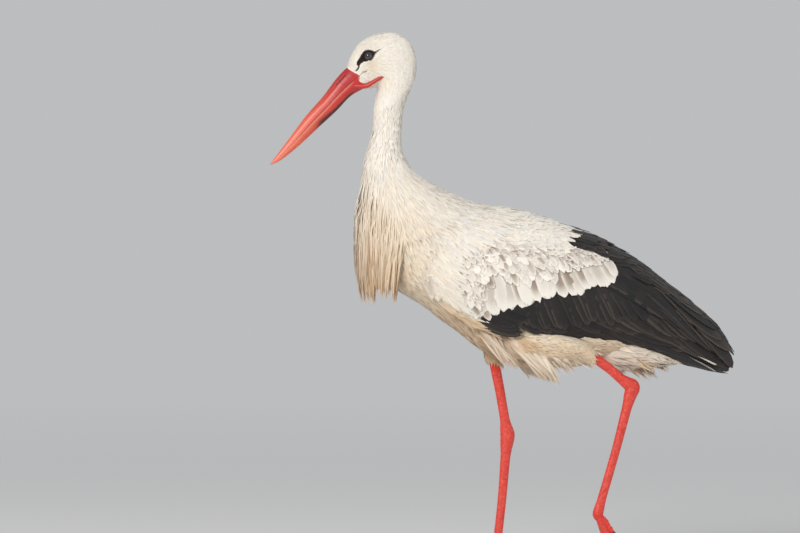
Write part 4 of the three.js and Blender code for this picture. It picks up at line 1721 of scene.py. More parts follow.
class Scutes(Maker):
    """Horny scales over legs and toes, set by Geometry Nodes on points laid round each limb."""

    PITCH = 3.3
    RISE = 0.28
    PLATE = ((0.60, -0.5), (0.575, 0.25), (0.40, 0.85))  # reach and height of a plate's rings
    SIDES = 6
    SUNK = 0.25  # how deep the plates' middles lie
    FLOOR = 1.2  # none is set lower

    def __init__(self, plan: Plan, finishes: Finishes) -> None:
        """Args: plan, finishes: see Maker."""
        super().__init__(plan, finishes)
        self.chance = np.random.default_rng(41)

    def plate(self) -> bpy.types.Object:
        """One low six-sided plate, a unit across."""
        angles = [math.radians(60 * i + 30) for i in range(self.SIDES)]
        spokes = [(math.cos(angle), math.sin(angle)) for angle in angles]
        points = [(reach * x, reach * y, high) for reach, high in self.PLATE for x, y in spokes]
        points += [(0, 0, -0.5), (0, 0, 1.0)]
        return solid("scute_plate", np.array(points), ring_faces(len(self.PLATE), self.SIDES))

    def rows_on(
        self, tube: Limb, rows: tuple[float, float], wide: float, long: float, turns: tuple[float, float]
    ) -> list[Array]:
        """Places of scutes on a limb in staggered rows.

        Args:
            tube: the limb.
            rows: first and last row.
            wide, long: size of a scute round and along the limb.
            turns: first and last turn.

        Returns: points, lies, normals and sizes.
        """
        span = turns[1] - turns[0]
        sample = np.linspace(*rows, 400)
        line = tube.path.at(sample)
        reach = np.concatenate([[0], np.cumsum(np.linalg.norm(np.diff(line, axis=0), axis=1))])
        found = []
        for number in range(int(reach[-1] / long)):
            row = float(np.interp((number + 0.5) * long, reach, sample))
            _, _, _, _, per_turn = tube.basis(np.full(24, row), np.linspace(0, 2 * np.pi, 24))
            count = max(3, round(per_turn.mean() * span / wide))
            turn = turns[0] + span * (np.arange(count) + 0.5 * (number % 2)) / count
            turn = turn + self.chance.normal(0, 0.02, count)
            place = np.full(count, row)
            lie, _, normal, _, per_turn = tube.basis(place, turn)
            size = np.stack([per_turn * span / count, np.full(count, long), np.full(count, self.RISE)], 1)
            found.append(np.concatenate([tube.at(place, turn), lie, normal, size], 1))
        return found

    @staticmethod
    def tree() -> bpy.types.NodeTree:
        """Returns: the tree that sets a plate on every point, along its lie and normal."""
        tree = bpy.data.node_groups.new("set_scutes", "GeometryNodeTree")
        for name, way, kind in (
            ("Points", "INPUT", "Geometry"),
            ("Plate", "INPUT", "Object"),
            ("Size", "INPUT", "Float"),
            ("Finish", "INPUT", "Material"),
            ("Scutes", "OUTPUT", "Geometry"),
        ):
            tree.interface.new_socket(name, in_out=way, socket_type=f"NodeSocket{kind}")

        def add(
            kind: str, settings: dict, output: str | int = 0, **sources: bpy.types.NodeSocket
        ) -> bpy.types.NodeSocket:
            """Args: kind, settings: of a node. sources: of its inputs. Returns: the output wanted."""
            node = tree.nodes.new(kind)
            for key, value in settings.items():
                setattr(node, key, value)
            for title, source in sources.items():
                tree.links.new(source, node.inputs[title])
            return node.outputs[output]

        def attribute(name: str) -> bpy.types.NodeSocket:
            """Args: name: of a vector on the points. Returns: its socket."""
            node = tree.nodes.new("GeometryNodeInputNamedAttribute")
            node.data_type = "FLOAT_VECTOR"
            node.inputs["Name"].default_value = name
            return node.outputs["Attribute"]

        given = tree.nodes.new("NodeGroupInput").outputs
        turn = "FunctionNodeAlignRotationToVector"
        form = add("GeometryNodeObjectInfo", {}, "Geometry", Object=given["Plate"])
        upright = add(turn, {"axis": "Z"}, Vector=attribute("normal"))
        turned = add(turn, {"axis": "Y", "pivot_axis": "Z"}, Rotation=upright, Vector=attribute("lie"))
        whole = {"Vector": attribute("size"), "Scale": given["Size"]}
        size = add("ShaderNodeVectorMath", {"operation": "SCALE"}, **whole)
        where = {"Points": given["Points"], "Instance": form, "Rotation": turned, "Scale": size}
        plates = add("GeometryNodeInstanceOnPoints", {}, **where)
        real = add("GeometryNodeRealizeInstances", {}, Geometry=plates)
        coat = add("GeometryNodeSetMaterial", {}, Geometry=real, Material=given["Finish"])
        tree.links.new(coat, tree.nodes.new("NodeGroupOutput").inputs[0])
        return tree

    def build(self) -> None:
        """Makes the scutes of both legs."""
        plate, tree = self.plate(), self.tree()
        for leg in LEGS:
            found = self.rows_on(leg.shank(), (1.5, 10.8), self.PITCH, self.PITCH, (0, 2 * np.pi))
            back = 1.9 if leg.pitch else 1.25
            for toe in Leg.TOES:
                found += self.rows_on(leg.digit(toe), (0.9, 4.9), 6.5, 2.9, (-back, back))
            data = np.vstack(found)
            data = data[data[:, 2] > self.FLOOR]
            mesh = bpy.data.meshes.new("scute_points")
            spots = self.plan.metres(data[:, :3] - data[:, 6:9] * self.SUNK)
            mesh.from_pydata([tuple(p) for p in spots], [], [])
            for i, name in enumerate(("lie", "normal", "size")):
                layer = mesh.attributes.new(name, "FLOAT_VECTOR", "POINT")
                layer.data.foreach_set("vector", data[:, 3 + 3 * i : 6 + 3 * i].astype(np.float32).ravel())
            piece = placed(f"scutes_{leg.side.word}", mesh)
            modifier = piece.modifiers.new("scutes", "NODES")
            modifier.node_group = tree
            values = {"Plate": plate, "Size": MM, "Finish": self.finishes.scute}
            for item in tree.interface.items_tree:
                if item.in_out == "INPUT" and item.name in values:
                    modifier[item.identifier] = values[item.name]
            piece = applied(piece)
            self.paint(piece, len(data), len(plate.data.vertices))
            settle(piece, "leg_skin")
            log.info("%s: %d scutes", piece.name, len(data))
        bpy.data.objects.remove(plate)

    def paint(self, piece: bpy.types.Object, count: int, size: int) -> None:
        """Args: piece: to be coloured. count: of scutes. size: points in each."""
        points = mesh_points(piece.data)
        low = ease(0.075, 0.03, points[:, 2])[:, None]
        gain = np.repeat(1 + self.chance.normal(0, 0.10, count), size)[:, None]
        pale = np.repeat(self.chance.uniform(0, 0.32, count), size)[:, None]
        colours = mix(mix(Palette.LEG, Palette.FOOT, low), Palette.SCUTE, pale) * gain
        set_colours(piece.data, np.clip(colours, 0, 1))
        for face in piece.data.polygons:
            face.use_smooth = False


# ------------------------------------------------------------------ wings


@dataclass(frozen=True)
class WingRow:
    """A row of wing feathers, from its first (front) to its last, drawn from the side."""

    roots: tuple
    tips: tuple
    count: int
    width: float
    cut: Cut
    section: Section
    under: float  # how deep the roots lie
    over: float  # how high the tips lie
    bow: float = 0.04  # how far the shafts bend, as a share of their length
    thick: float = 0.5
    roll: float = 0.07
    stray: float = 1.5
    fray: float = 0.0


class WingPlan:
    """Where the feathers of the folded wing lie, as seen from the side."""

    LAST_COVERTS = (
        (-66, 388), (-44, 396), (-25, 404), (0, 406), (16, 410), (35, 417), (52, 419), (78, 423),
        (92, 428), (108, 432), (124, 436), (142, 438), (149, 452),
    )
    MEDIAN_COVERTS = (
        (-112, 462), (-90, 458), (-68, 456), (-46, 455), (-25, 450), (-3, 445), (18, 446), (40, 445),
        (61, 452), (82, 458), (104, 463), (126, 472), (140, 474),
    )
    TOP_COVERTS = (
        (-130, 505), (-92, 511), (-40, 513), (20, 509), (62, 503), (94, 496), (124, 484), (146, 474),
    )
    OUTLINE = (
        (-131, 464), (-116, 426), (-94, 401), (-66, 386), (-34, 354), (0, 352), (60, 366), (148, 354),
        (227, 347), (323, 298), (350, 320), (282, 405), (192, 474), (144, 502), (92, 524), (-14, 556),
        (-90, 560), (-128, 520),
    )
    WHITE_AREA = (
        (-140, 560), (-60, 570), (40, 560), (84, 517), (140, 476), (150, 452), (138, 432), (78, 420),
        (34, 410), (-24, 400), (-58, 380), (-112, 416), (-140, 470),
    )

    @classmethod
    def dark(cls, points: Array) -> Array:
        """Whether skin points lie under the black feathers."""
        inside = Markings.within(points[:, 1:], cls.WHITE_AREA)
        high = points[:, 2] > 352 - 0.16 * np.maximum(points[:, 1] - 120, 0)
        return ~inside & high & (points[:, 1] > -40) & ((points[:, 1] > 20) | (points[:, 2] < 430))

    @classmethod
    def covert_line(cls, share: float) -> tuple:
        """Args: share: 0 at the last coverts, 1 at the top. Returns: a line of tips."""
        lines = (cls.LAST_COVERTS, cls.MEDIAN_COVERTS, cls.TOP_COVERTS)
        along = np.linspace(0, 1, 15)
        weights = np.interp(share, (0, 0.45, 1), (0, 1, 2)) - np.arange(3)
        parts = [Line(line).at(along * (len(line) - 1)) for line in lines]
        line = sum(part * max(0.0, 1 - abs(weight)) for part, weight in zip(parts, weights))
        return tuple(map(tuple, line))

    @staticmethod
    def back_from(tips: tuple, first: tuple, last: tuple) -> tuple:
        """Args: tips: a line. first, last: from tip to root at its two ends. Returns: the roots."""
        line = np.array(tips, float)
        share = np.linspace(0, 1, len(line))[:, None]
        return tuple(map(tuple, line + mix(np.array(first), np.array(last), share)))

    @classmethod
    def covert_rows(cls) -> list[WingRow]:
        """The white coverts in graded rows, from the longest up."""
        rows = []
        grades = (
            # share, count, width, length at the front, at the rear, root depth, tip height, outline
            (0.0, 19, 22.0, 82, 60, 4.0, 0.2, Cut.SCALE),
            (0.45, 34, 14.0, 46, 40, 3.6, 0.5, Cut.SOFT),
            (0.55, 38, 12.0, 38, 34, 3.4, 0.6, Cut.SOFT),
            (0.64, 42, 11.0, 34, 30, 3.2, 0.7, Cut.SOFT),
        )
        for share, count, width, front, rear, under, over, cut in grades:
            tips = cls.covert_line(share)
            steep, slant = math.radians(72 - 8 * share), math.radians(62 - 14 * share)
            roots = cls.back_from(
                tips,
                (-front * math.cos(steep), front * math.sin(steep)),
                (-rear * math.cos(slant), rear * math.sin(slant)),
            )
            make = (roots, tips, count, width, cut, Section.BROAD, under, over)
            rows.append(WingRow(*make, stray=2.0 + 4 * share, thick=0.2, roll=0.025, fray=0.12))
        return rows[::-1]

    SECONDARIES = WingRow(
        ((-48, 440), (-18, 436), (14, 434), (44, 440), (76, 444), (108, 448), (134, 452), (150, 458)),
        ((-8, 387), (16, 378), (44, 372), (76, 374), (108, 380), (146, 381), (184, 386), (214, 391)),
        27, 18, Cut.BLADE, Section.SHAFTED, 3.0, 0.0, 0.05, stray=3.2, fray=0.06,
    )
    UNDER_QUILLS = WingRow(
        ((-30, 412), (10, 408), (60, 412), (100, 420), (150, 430), (190, 430)),
        ((28, 364), (90, 367), (150, 366), (200, 362), (240, 362), (272, 356)),
        14, 24, Cut.BLADE, Section.SHAFTED, 4.5, -1.6, 0.03,
    )
    INNER_QUILLS = WingRow(
        ((110, 405), (140, 415), (170, 420), (195, 420)),
        ((262, 345), (288, 333), (312, 318), (334, 306)),
        8, 22, Cut.QUILL, Section.SHAFTED, 4.5, -1.0, -0.03,
    )
    TERTIALS = WingRow(
        ((112, 452), (122, 460), (134, 466), (148, 474), (162, 480), (176, 480)),
        ((222, 392), (250, 373), (282, 350), (308, 334), (328, 318), (341, 306)),
        9, 25, Cut.BLADE, Section.SHAFTED, 2.0, 1.6, 0.035,
    )
    TOP_QUILLS = WingRow(
        ((150, 490), (166, 486), (182, 478), (200, 466)),
        ((252, 420), (286, 394), (316, 362), (338, 332)),
        6, 24, Cut.BLADE, Section.SHAFTED, 1.0, 2.4, -0.03,
    )
    PRIMARIES = WingRow(
        ((18, 372), (34, 376), (52, 380), (72, 384), (96, 388), (120, 392)),
        ((248, 345), (284, 326), (310, 311), (328, 302), (340, 300), (347, 306)),
        10, 21, Cut.QUILL, Section.SHAFTED, 4.5, -2.4, -0.035,
    )
    ALULA = WingRow(
        ((-60, 386), (-55, 391), (-49, 395)),
        ((4, 363), (1, 372), (-4, 381)),
        5, 15, Cut.QUILL, Section.SHAFTED, 1.0, 1.8, -0.06,
    )
    HAND_COVERTS = WingRow(
        ((-56, 398), (-44, 408), (-26, 414)),
        ((0, 376), (6, 385), (14, 396)),
        6, 17, Cut.BLADE, Section.SHAFTED, 1.6, 0.6, -0.02,
    )


class Wing(Maker):
    """One folded wing's feathers."""

    LESSER = 0.75  # how high among the coverts' rows the small ones count
    BLADES = Lie(46, 14, Cut.BLADE, Section.BROAD, 1.2, 3, 0.08)  # of the shoulder's front
    SMALL = Lie(25, 7.6, Cut.SOFT, Section.HAIR, 0.8, 9, 0.16)
    SHOULDER = Lie(28, 6.4, Cut.SOFT, Section.HAIR, 1.0, 7, 0.18)
    SCAPULARS = Lie(62, 19, Cut.BLADE, Section.SHAFTED, 3.4, 3.0, 0.55)
    ORDER = 0.5  # how much higher a row's last feather lies than its first

    def __init__(self, plan: Plan, finishes: Finishes, hull: Hull, side: Side) -> None:
        """Args: plan, finishes: see Maker. hull: of both wings. side: which wing."""
        super().__init__(plan, finishes)
        self.hull = hull
        self.side = side
        self.chance = np.random.default_rng(7 + side.value)

    def row(self, row: WingRow) -> Shafts:
        """Args: row: of feathers. Returns: the feathers laid on the wing."""
        chance, count = self.chance, row.count
        share = (np.arange(count) + chance.normal(0, 0.12, count)) / (count - 1)
        share = np.clip(share, 0, 1)
        roots = Line(row.roots).at(share * (len(row.roots) - 1))
        tips = Line(row.tips).at(share * (len(row.tips) - 1)) + chance.normal(0, row.stray, (count, 2))
        run = tips - roots
        reach = np.linalg.norm(run, axis=1)
        aside = np.stack([-run[:, 1], run[:, 0]], 1)
        middle = (roots + tips) / 2 + aside * (2 * row.bow + chance.normal(0, 0.02, count))[:, None]
        along = row.cut.places[None, :, None]
        places = (1 - along) ** 2 * roots[:, None] + 2 * along * (1 - along) * middle[:, None]
        places = places + along**2 * tips[:, None]
        spots, normals = self.hull.beside(self.side.value, places)
        smooth = normals.copy()
        smooth[:, 1:-1] = normals[:, 1:-1] * 0.4 + normals[:, :-2] * 0.3 + normals[:, 2:] * 0.3
        normals = unit(mix(smooth, smooth.mean(1, keepdims=True), 0.3))
        lift = -row.under * (1 - along) ** 1.6 + row.over * along + chance.normal(0, 0.15, (count, 1, 1))
        spots = spots + normals * lift + normals * share[:, None, None] * self.ORDER
        half = row.width / 2 * chance.uniform(0.92, 1.08, count) * np.clip(reach / reach.mean(), 0.8, 1.1)
        root_map = self.plan.wing.unwrap(spots[:, 0])
        roll = row.roll * self.side.value * chance.uniform(0.6, 1.4, count)
        return Shafts(spots, normals, half, root_map, row.thick, 0.05, roll, row.fray)

    def white(self, shafts: Shafts, share: float, soft: bool = False) -> Painter:
        """Colours of coverts: ash-beige middles, white edges and tips.

        Args:
            shafts: the feathers.
            share: 0 for the last row, 1 for the top one.
            soft: whether the middle's colour reaches the edges.

        Returns: a painter for Skein.lay.
        """
        base = Markings.plumage(shafts.spots[:, 0])
        tip = shafts.spots[:, -1]
        smudge = np.clip(self.chance.normal(0.62, 0.36, shafts.count), 0.04, 0.98)
        smudge = smudge * ease(514, 484, tip[:, 2]) * (0.55 + 0.45 * ease(-145, -105, tip[:, 1]))
        gain = self.chance.normal(1.0, 0.03, shafts.count)
        fade = 0.55 if soft else 1.0
        blend = 0.25 + 0.3 * share

        def paint(along: Array, across: Array) -> Array:
            """See Skein.lay."""
            middle = 1 - fade * np.abs(across) ** 2.5
            middle = middle * ease(1.0 + 0.05 * share, 0.64 + 0.2 * share, along)[:, None]
            part = smudge[:, None, None] * middle * ease(-0.1, 0.3, along)[:, None]
            colour = mix(Palette.WHITE * 1.03, Palette.ASH, part[..., None])
            colour = colour * (1 - blend) + base[:, None, None] * colour / Palette.WHITE * blend
            return colour * gain[:, None, None, None]

        return paint

    def black(self, shafts: Shafts, edge: float) -> Painter:
        """Colours of flight feathers: black with umber edges and tips.

        Args:
            shafts: the feathers.
            edge: how light the edges are.

        Returns: a painter for Skein.lay.
        """
        umber_and_sheen = np.clip(self.chance.normal(edge, edge * 0.5, shafts.count), 0, 1)

        def paint(along: Array, across: Array) -> Array:
            """See Skein.lay."""
            # one edge of each quill turns umber: partly the quill's own brownish edge, partly painted sheen;
            # the tips turn umber too
            rim = (np.abs(across) ** 5 * (across * self.side.value > 0) * 0.9)[None, :]
            end = ease(0.86, 1.0, along)[:, None] * 0.5
            part = umber_and_sheen[:, None, None] * np.clip(rim + end + 0.12, 0, 1)
            return mix(Palette.BLACK, Palette.UMBER, part[..., None])

        return paint

    def lesser(self, skein: Skein) -> None:
        """Adds the small upper coverts and the shoulder's plumes. Args: skein: takes them."""
        layer, loft, side = Layer(self.plan, 70 + self.side.value), self.plan.wing, self.side.value
        lowest = np.array(WingPlan.covert_line(0.62))
        for rows, turns, spacing, lie, front in (
            ((0.3, 2.3), (1.2, 2.4), 7.0, self.BLADES, -28),
            ((0.1, 5.4), (0.7, 2.3), 3.6, self.SMALL, None),
            ((0.0, 2.0), (0.7, 2.6), 3.0, self.SHOULDER, -33),
        ):
            row, turn = layer.scatter(loft, rows, spacing, turns)
            spots = loft.at(row, turn)
            if front is None:
                floor = np.interp(spots[:, 1], lowest[:, 0], lowest[:, 1])
                clear = Markings.within(spots[:, 1:], WingPlan.WHITE_AREA) & (spots[:, 2] > floor + 20)
            else:
                clear = (Markings.under_front(spots) < front) & (spots[:, 1] < -68)
            row, turn = row[clear], turn[clear]
            yaw = np.interp(turn, (0.7, 1.6), (0.15, 0.85)) * np.interp(row, (0, 5), (1.0, 0.6))
            shafts = layer.along_tube(loft, row, turn * side, lie, 3.0, 1.0, yaw * side)
            skein.lay(shafts, lie.cut, lie.section, self.white(shafts, self.LESSER, True))

    def dressed(self, word: str, rows: list[WingRow], pale: bool = False) -> None:
        """Args: word: of the piece and its node. rows: its feathers. pale: whether they are white."""
        skein = Skein(self.plan)
        for i, row in enumerate(rows):
            shafts = self.row(row)
            share = 1 - i / max(len(rows) - 1, 1)
            paint = self.white(shafts, share) if pale else self.black(shafts, 0.42)
            skein.lay(shafts, row.cut, row.section, paint)
        if pale:
            self.lesser(skein)
        self.named(skein, word, pale)

    def named(self, skein: Skein, word: str, pale: bool = False) -> None:
        """Args: skein: a finished piece. word: of it and its node. pale: whether it is white."""
        finish = self.finishes.vane if pale else self.finishes.flight
        piece = skein.made(f"feathers_{word}_{self.side.word}", finish)
        settle(piece, "white_plumage" if pale else "flight_feathers", f"wing_{word}_{self.side.word}")

    def build(self) -> None:
        """Makes and dresses the wing's pieces."""
        inner = [WingPlan.UNDER_QUILLS, WingPlan.SECONDARIES, WingPlan.INNER_QUILLS, WingPlan.TERTIALS]
        self.dressed("coverts", WingPlan.covert_rows(), pale=True)
        self.dressed("primaries", [WingPlan.PRIMARIES])
        self.dressed("secondaries", inner)
        self.dressed("alula", [WingPlan.HAND_COVERTS, WingPlan.ALULA])
        self.scapulars()

    def scapulars(self) -> None:
        """Makes the black scapulars on this side of the back."""
        layer, loft, skein = Layer(self.plan, 60 + self.side.value), self.plan.wing, Skein(self.plan)
        top, lie = WingPlan.TOP_QUILLS, self.SCAPULARS
        shafts = self.row(top)
        skein.lay(shafts, top.cut, top.section, self.black(shafts, 0.6))
        turns = (0.0, 0.78) if self.side is Side.LEFT else (-0.78, 0.0)
        row, turn = layer.scatter(loft, (3.5, 8.9), 11.0, turns)
        scale = np.interp(row, (3.5, 7, 8.9), (0.75, 1.25, 0.75))
        shafts = layer.along_tube(loft, row, turn, lie, 3.0, scale)
        skein.lay(shafts, lie.cut, lie.section, self.black(shafts, 0.4))
        self.named(skein, "scapulars")


# ------------------------------------------------------------------ coat of head, neck and body


class Coat(Maker):
    """The white feathers of head, neck and body, in pieces."""

    FRONT_RISE = (-2.6, 1.6)  # of a feather's root and end over the wings' front
    WING_REACH = 130.0  # from the middle of the wing's outline to its edge, roughly
    RIM_GAP = 2.9  # how far feathers keep from the gape's rims
    COVERED = 1.0  # how deep in the wings a place has to lie to be left bare

    def __init__(self, plan: Plan, finishes: Finishes) -> None:
        """Args: plan, finishes: see Maker."""
        super().__init__(plan, finishes)
        self.wing_hull = Hull(*plan.wing.grid(np.linspace(0, plan.wing.last, 100), 120))
        self.body_hull = Hull(*plan.body.grid(np.linspace(0, plan.body.last, 140), 80))

    def hidden(self, spots: Array, margin: float) -> Array:
        """Args: spots: on the body. margin: kept inside the wing's outline. Returns: the covered ones."""
        outline = np.array(WingPlan.OUTLINE, float)
        middle = outline.mean(0)
        inner = middle + (outline - middle) * (1 - margin / self.WING_REACH)
        deep = self.wing_hull.depth(spots) > self.COVERED
        return Markings.within(spots[:, 1:], tuple(map(tuple, inner))) & deep

    def laid(
        self,
        skein: Skein,
        layer: Layer,
        tube: Tube,
        place: tuple[Array, Array],
        lie: Lie,
        skin: Reading,
        *,
        scale: Array | float = 1.0,
        yaw: Array | float = 0.0,
        root: float = 0.08,
        spread: float = 0.045,
        over: bool = False,
    ) -> None:
        """Lays white feathers on a tube.

        Args:
            skein: takes them.
            layer: sets them.
            tube, place: surface, and rows and turns of the roots.
            lie: sizes.
            skin: depth of the skin.
            scale, yaw: of each feather.
            root, spread: see Layer.shade.
            over: whether they climb over the wings' front edge.
        """
        shafts = layer.along_tube(tube, *place, lie, skin, scale, yaw)
        if over:
            heights = mix(*self.FRONT_RISE, ease(0, 0.55, lie.cut.places))
            self.wing_hull.lift_out(shafts, heights, WingPlan.OUTLINE)
        base = Markings.plumage(shafts.spots[:, len(lie.cut.along) // 2])
        skein.lay(shafts, lie.cut, lie.section, layer.shade(shafts, base, root=root, spread=spread))

    def head(self) -> None:
        """Small soft feathers from the bill to the nape."""
        plan = self.plan
        skein, layer = Skein(plan), Layer(plan, 11)
        row, turn = layer.scatter(plan.body, (0.02, 9.3), ((0, 2.5, 5, 9), (1.2, 1.35, 1.6, 1.9)))
        spots = plan.body.at(row, turn, -plan.depth(row))
        lie_ahead = plan.body.at(row + 0.25, turn)
        clear = ~Markings.masked(spots) & ~Markings.masked(lie_ahead)
        clear &= ~Markings.within(spots[:, 1:], Markings.BILL_FACE)
        rim = Line(Bill.GAPE).at(np.linspace(0, len(Bill.GAPE) - 1, 50))
        for places in (spots, lie_ahead):
            offset = np.abs(places)[:, None] * (1, 0, 0) + places[:, None] * (0, 1, 1) - rim[None]
            clear &= np.linalg.norm(offset, axis=-1).min(1) > self.RIM_GAP
        for side in Side:
            centre, ahead, _, _ = Eye.frame_of(side)
            for places, reach in ((spots, 8.2), (lie_ahead, 7.1)):
                offset = places - centre
                off_axis = np.linalg.norm(offset - ahead * (offset @ ahead)[:, None], axis=1)
                clear &= (off_axis > reach) | (offset @ ahead < 0)
        row, turn, spots = row[clear], turn[clear], spots[clear]
        scale = np.interp(row, (0, 2, 5, 9), (0.5, 0.72, 1.0, 1.5))
        scale = scale * np.interp(Eye.gap(spots), (9, 22), (0.6, 1.0))
        lie = Lie(9.0, 3.0, Cut.SHORT, Section.HAIR, 0.3, 7, 0.2)
        self.laid(skein, layer, plan.body, (row, turn), lie, plan.depth, scale=scale, spread=0.03)
        settle(skein.made("feathers_head", self.finishes.down), "white_plumage")

    def neck(self) -> None:
        """Slender feathers of the neck, longer towards its base."""
        plan = self.plan
        skein, layer = Skein(plan), Layer(plan, 12)
        row, turn = layer.scatter(plan.body, (8.8, 16.2), ((9, 13, 16), (1.9, 2.3, 2.9)))
        scale = np.interp(row, (9, 13, 16), (0.6, 0.9, 1.35))
        lie = Lie(24, 3.8, Cut.LANCE, Section.HAIR, 0.6, 5, 0.22)
        self.laid(skein, layer, plan.body, (row, turn), lie, plan.depth, scale=scale, spread=0.045)
        settle(skein.made("feathers_neck", self.finishes.down), "white_plumage")

    def breast(self) -> None:
        """Feathers of the breast and shoulders, in front of the wings, a piece for each side."""
        plan = self.plan
        lie = Lie(36, 4.8, Cut.LANCE, Section.HAIR, 0.6, 6, 0.2)
        looks = {"spread": 0.05, "root": 0.24}
        for side in Side:
            skein, layer = Skein(plan), Layer(plan, 130 + side.value)
            turns = (0.0, np.pi) if side is Side.LEFT else (-np.pi, 0.0)
            row, turn = layer.scatter(plan.body, (15.9, 22.6), ((16, 22), (2.5, 3.2)), turns)
            clear = ~self.hidden(plan.body.at(row, turn), 14.0)
            row, turn = row[clear], turn[clear]
            scale = np.interp(row, (16, 20, 22), (0.95, 1.1, 1.3))
            yaw = np.interp(row, (16, 21), (0.6, 0.1)) * np.interp(np.abs(turn), (0.5, 1.3), (0, 1))
            bends = {"scale": scale, "yaw": yaw * side.value, "over": True}
            self.laid(skein, layer, plan.body, (row, turn), lie, plan.depth, **bends, **looks)
            row, turn = layer.scatter(plan.wing, (0.2, 3.3), 3.1, (1.6, 2.34))
            ragged = layer.chance.normal(5, 4, len(row))
            below = Markings.under_front(plan.wing.at(row, turn)) > ragged
            place = (row[below], turn[below] * side.value)
            self.laid(skein, layer, plan.wing, place, lie, 3.0, **looks)
            settle(skein.made(f"feathers_breast_{side.word}", self.finishes.plume), "white_plumage")

    def mantle(self) -> None:
        """White feathers of the upper back and shoulders, over the wings."""
        plan = self.plan
        skein, layer = Skein(plan), Layer(plan, 14)
        row, turn = layer.scatter(plan.wing, (0.25, 4.0), ((0, 4), (3.6, 4.6)), (-1.25, 1.25))
        spots = plan.wing.at(row, turn)
        top = Line(WingPlan.TOP_COVERTS).at(np.linspace(0, 7, 80))
        low = np.interp(spots[:, 1], top[:, 0], top[:, 1])
        rear = spots[:, 1] + 0.55 * (520 - spots[:, 2])
        ragged = layer.chance.normal(0, 7, len(row))
        clear = (spots[:, 2] > low - 4 + ragged) & (rear < 62) & (self.body_hull.depth(spots) < 5)
        row, turn = row[clear], turn[clear]
        scale = np.interp(row, (0, 4), (0.8, 1.15))
        lie = Lie(38, 9.0, Cut.SOFT, Section.HAIR, 0.9, 5, 0.18)
        self.laid(skein, layer, plan.wing, (row, turn), lie, 3.5, scale=scale, spread=0.04)
        settle(skein.made("feathers_mantle", self.finishes.vane), "white_plumage")

    def belly(self) -> None:
        """Feathers of belly and flanks, below and behind the wings."""
        plan = self.plan
        skein, layer = Skein(plan), Layer(plan, 15)
        row, turn = layer.scatter(plan.body, (21.8, 28.6), 3.2)
        clear = ~self.hidden(plan.body.at(row, turn), 8.0)
        row, turn = row[clear], turn[clear]
        lie = Lie(42, 5.2, Cut.LANCE, Section.HAIR, 1.4, 8, 0.24, 0.1)
        self.laid(skein, layer, plan.body, (row, turn), lie, plan.depth, spread=0.05)
        settle(skein.made("feathers_belly", self.finishes.plume), "white_plumage")

    def thighs(self) -> None:
        """Loose plumes of the thighs and flanks, hanging behind the leg's root."""
        plan = self.plan
        for leg in LEGS:
            skein, layer = Skein(plan), Layer(plan, 30 + leg.side.value)
            tube = leg.sleeve()
            row, turn = layer.scatter(tube, (0.35, leg.plumes_end), ((0, 3), (3.0, 1.6)))
            scale = np.interp(row, (0, 3), (1.1, 0.62))
            lie = Lie(38, 5.0, Cut.LANCE, Section.HAIR, 1.5, 8, 0.24, 0.12)
            skin = ((0, 3), (8.0, 4.0))
            self.laid(skein, layer, tube, (row, turn), lie, skin, scale=scale, spread=0.06)
            settle(skein.made(f"feathers_thigh_{leg.side.word}", self.finishes.plume), "white_plumage")


@dataclass(frozen=True)
class Lock:
    """A hanging lock of plumes: where its roots lie, and its tip."""

    root: tuple[float, float, float]
    tip: tuple[float, float, float]
    count: int
    spread: tuple[float, float, float]  # of the roots
    close: float = 3.0  # how far the tips stand apart
    swell: tuple[float, float, float] = (0.0, 0.0, 0.0)  # how far the middle bulges

    def turned(self, side: Side, more: int) -> "Lock":
        """Args: side: of the body. more: times the plumes. Returns: the left side's lock there."""
        root, tip, swell = ((x * side.value, y, z) for x, y, z in (self.root, self.tip, self.swell))
        return Lock(root, tip, more * self.count, self.spread, self.close, swell)


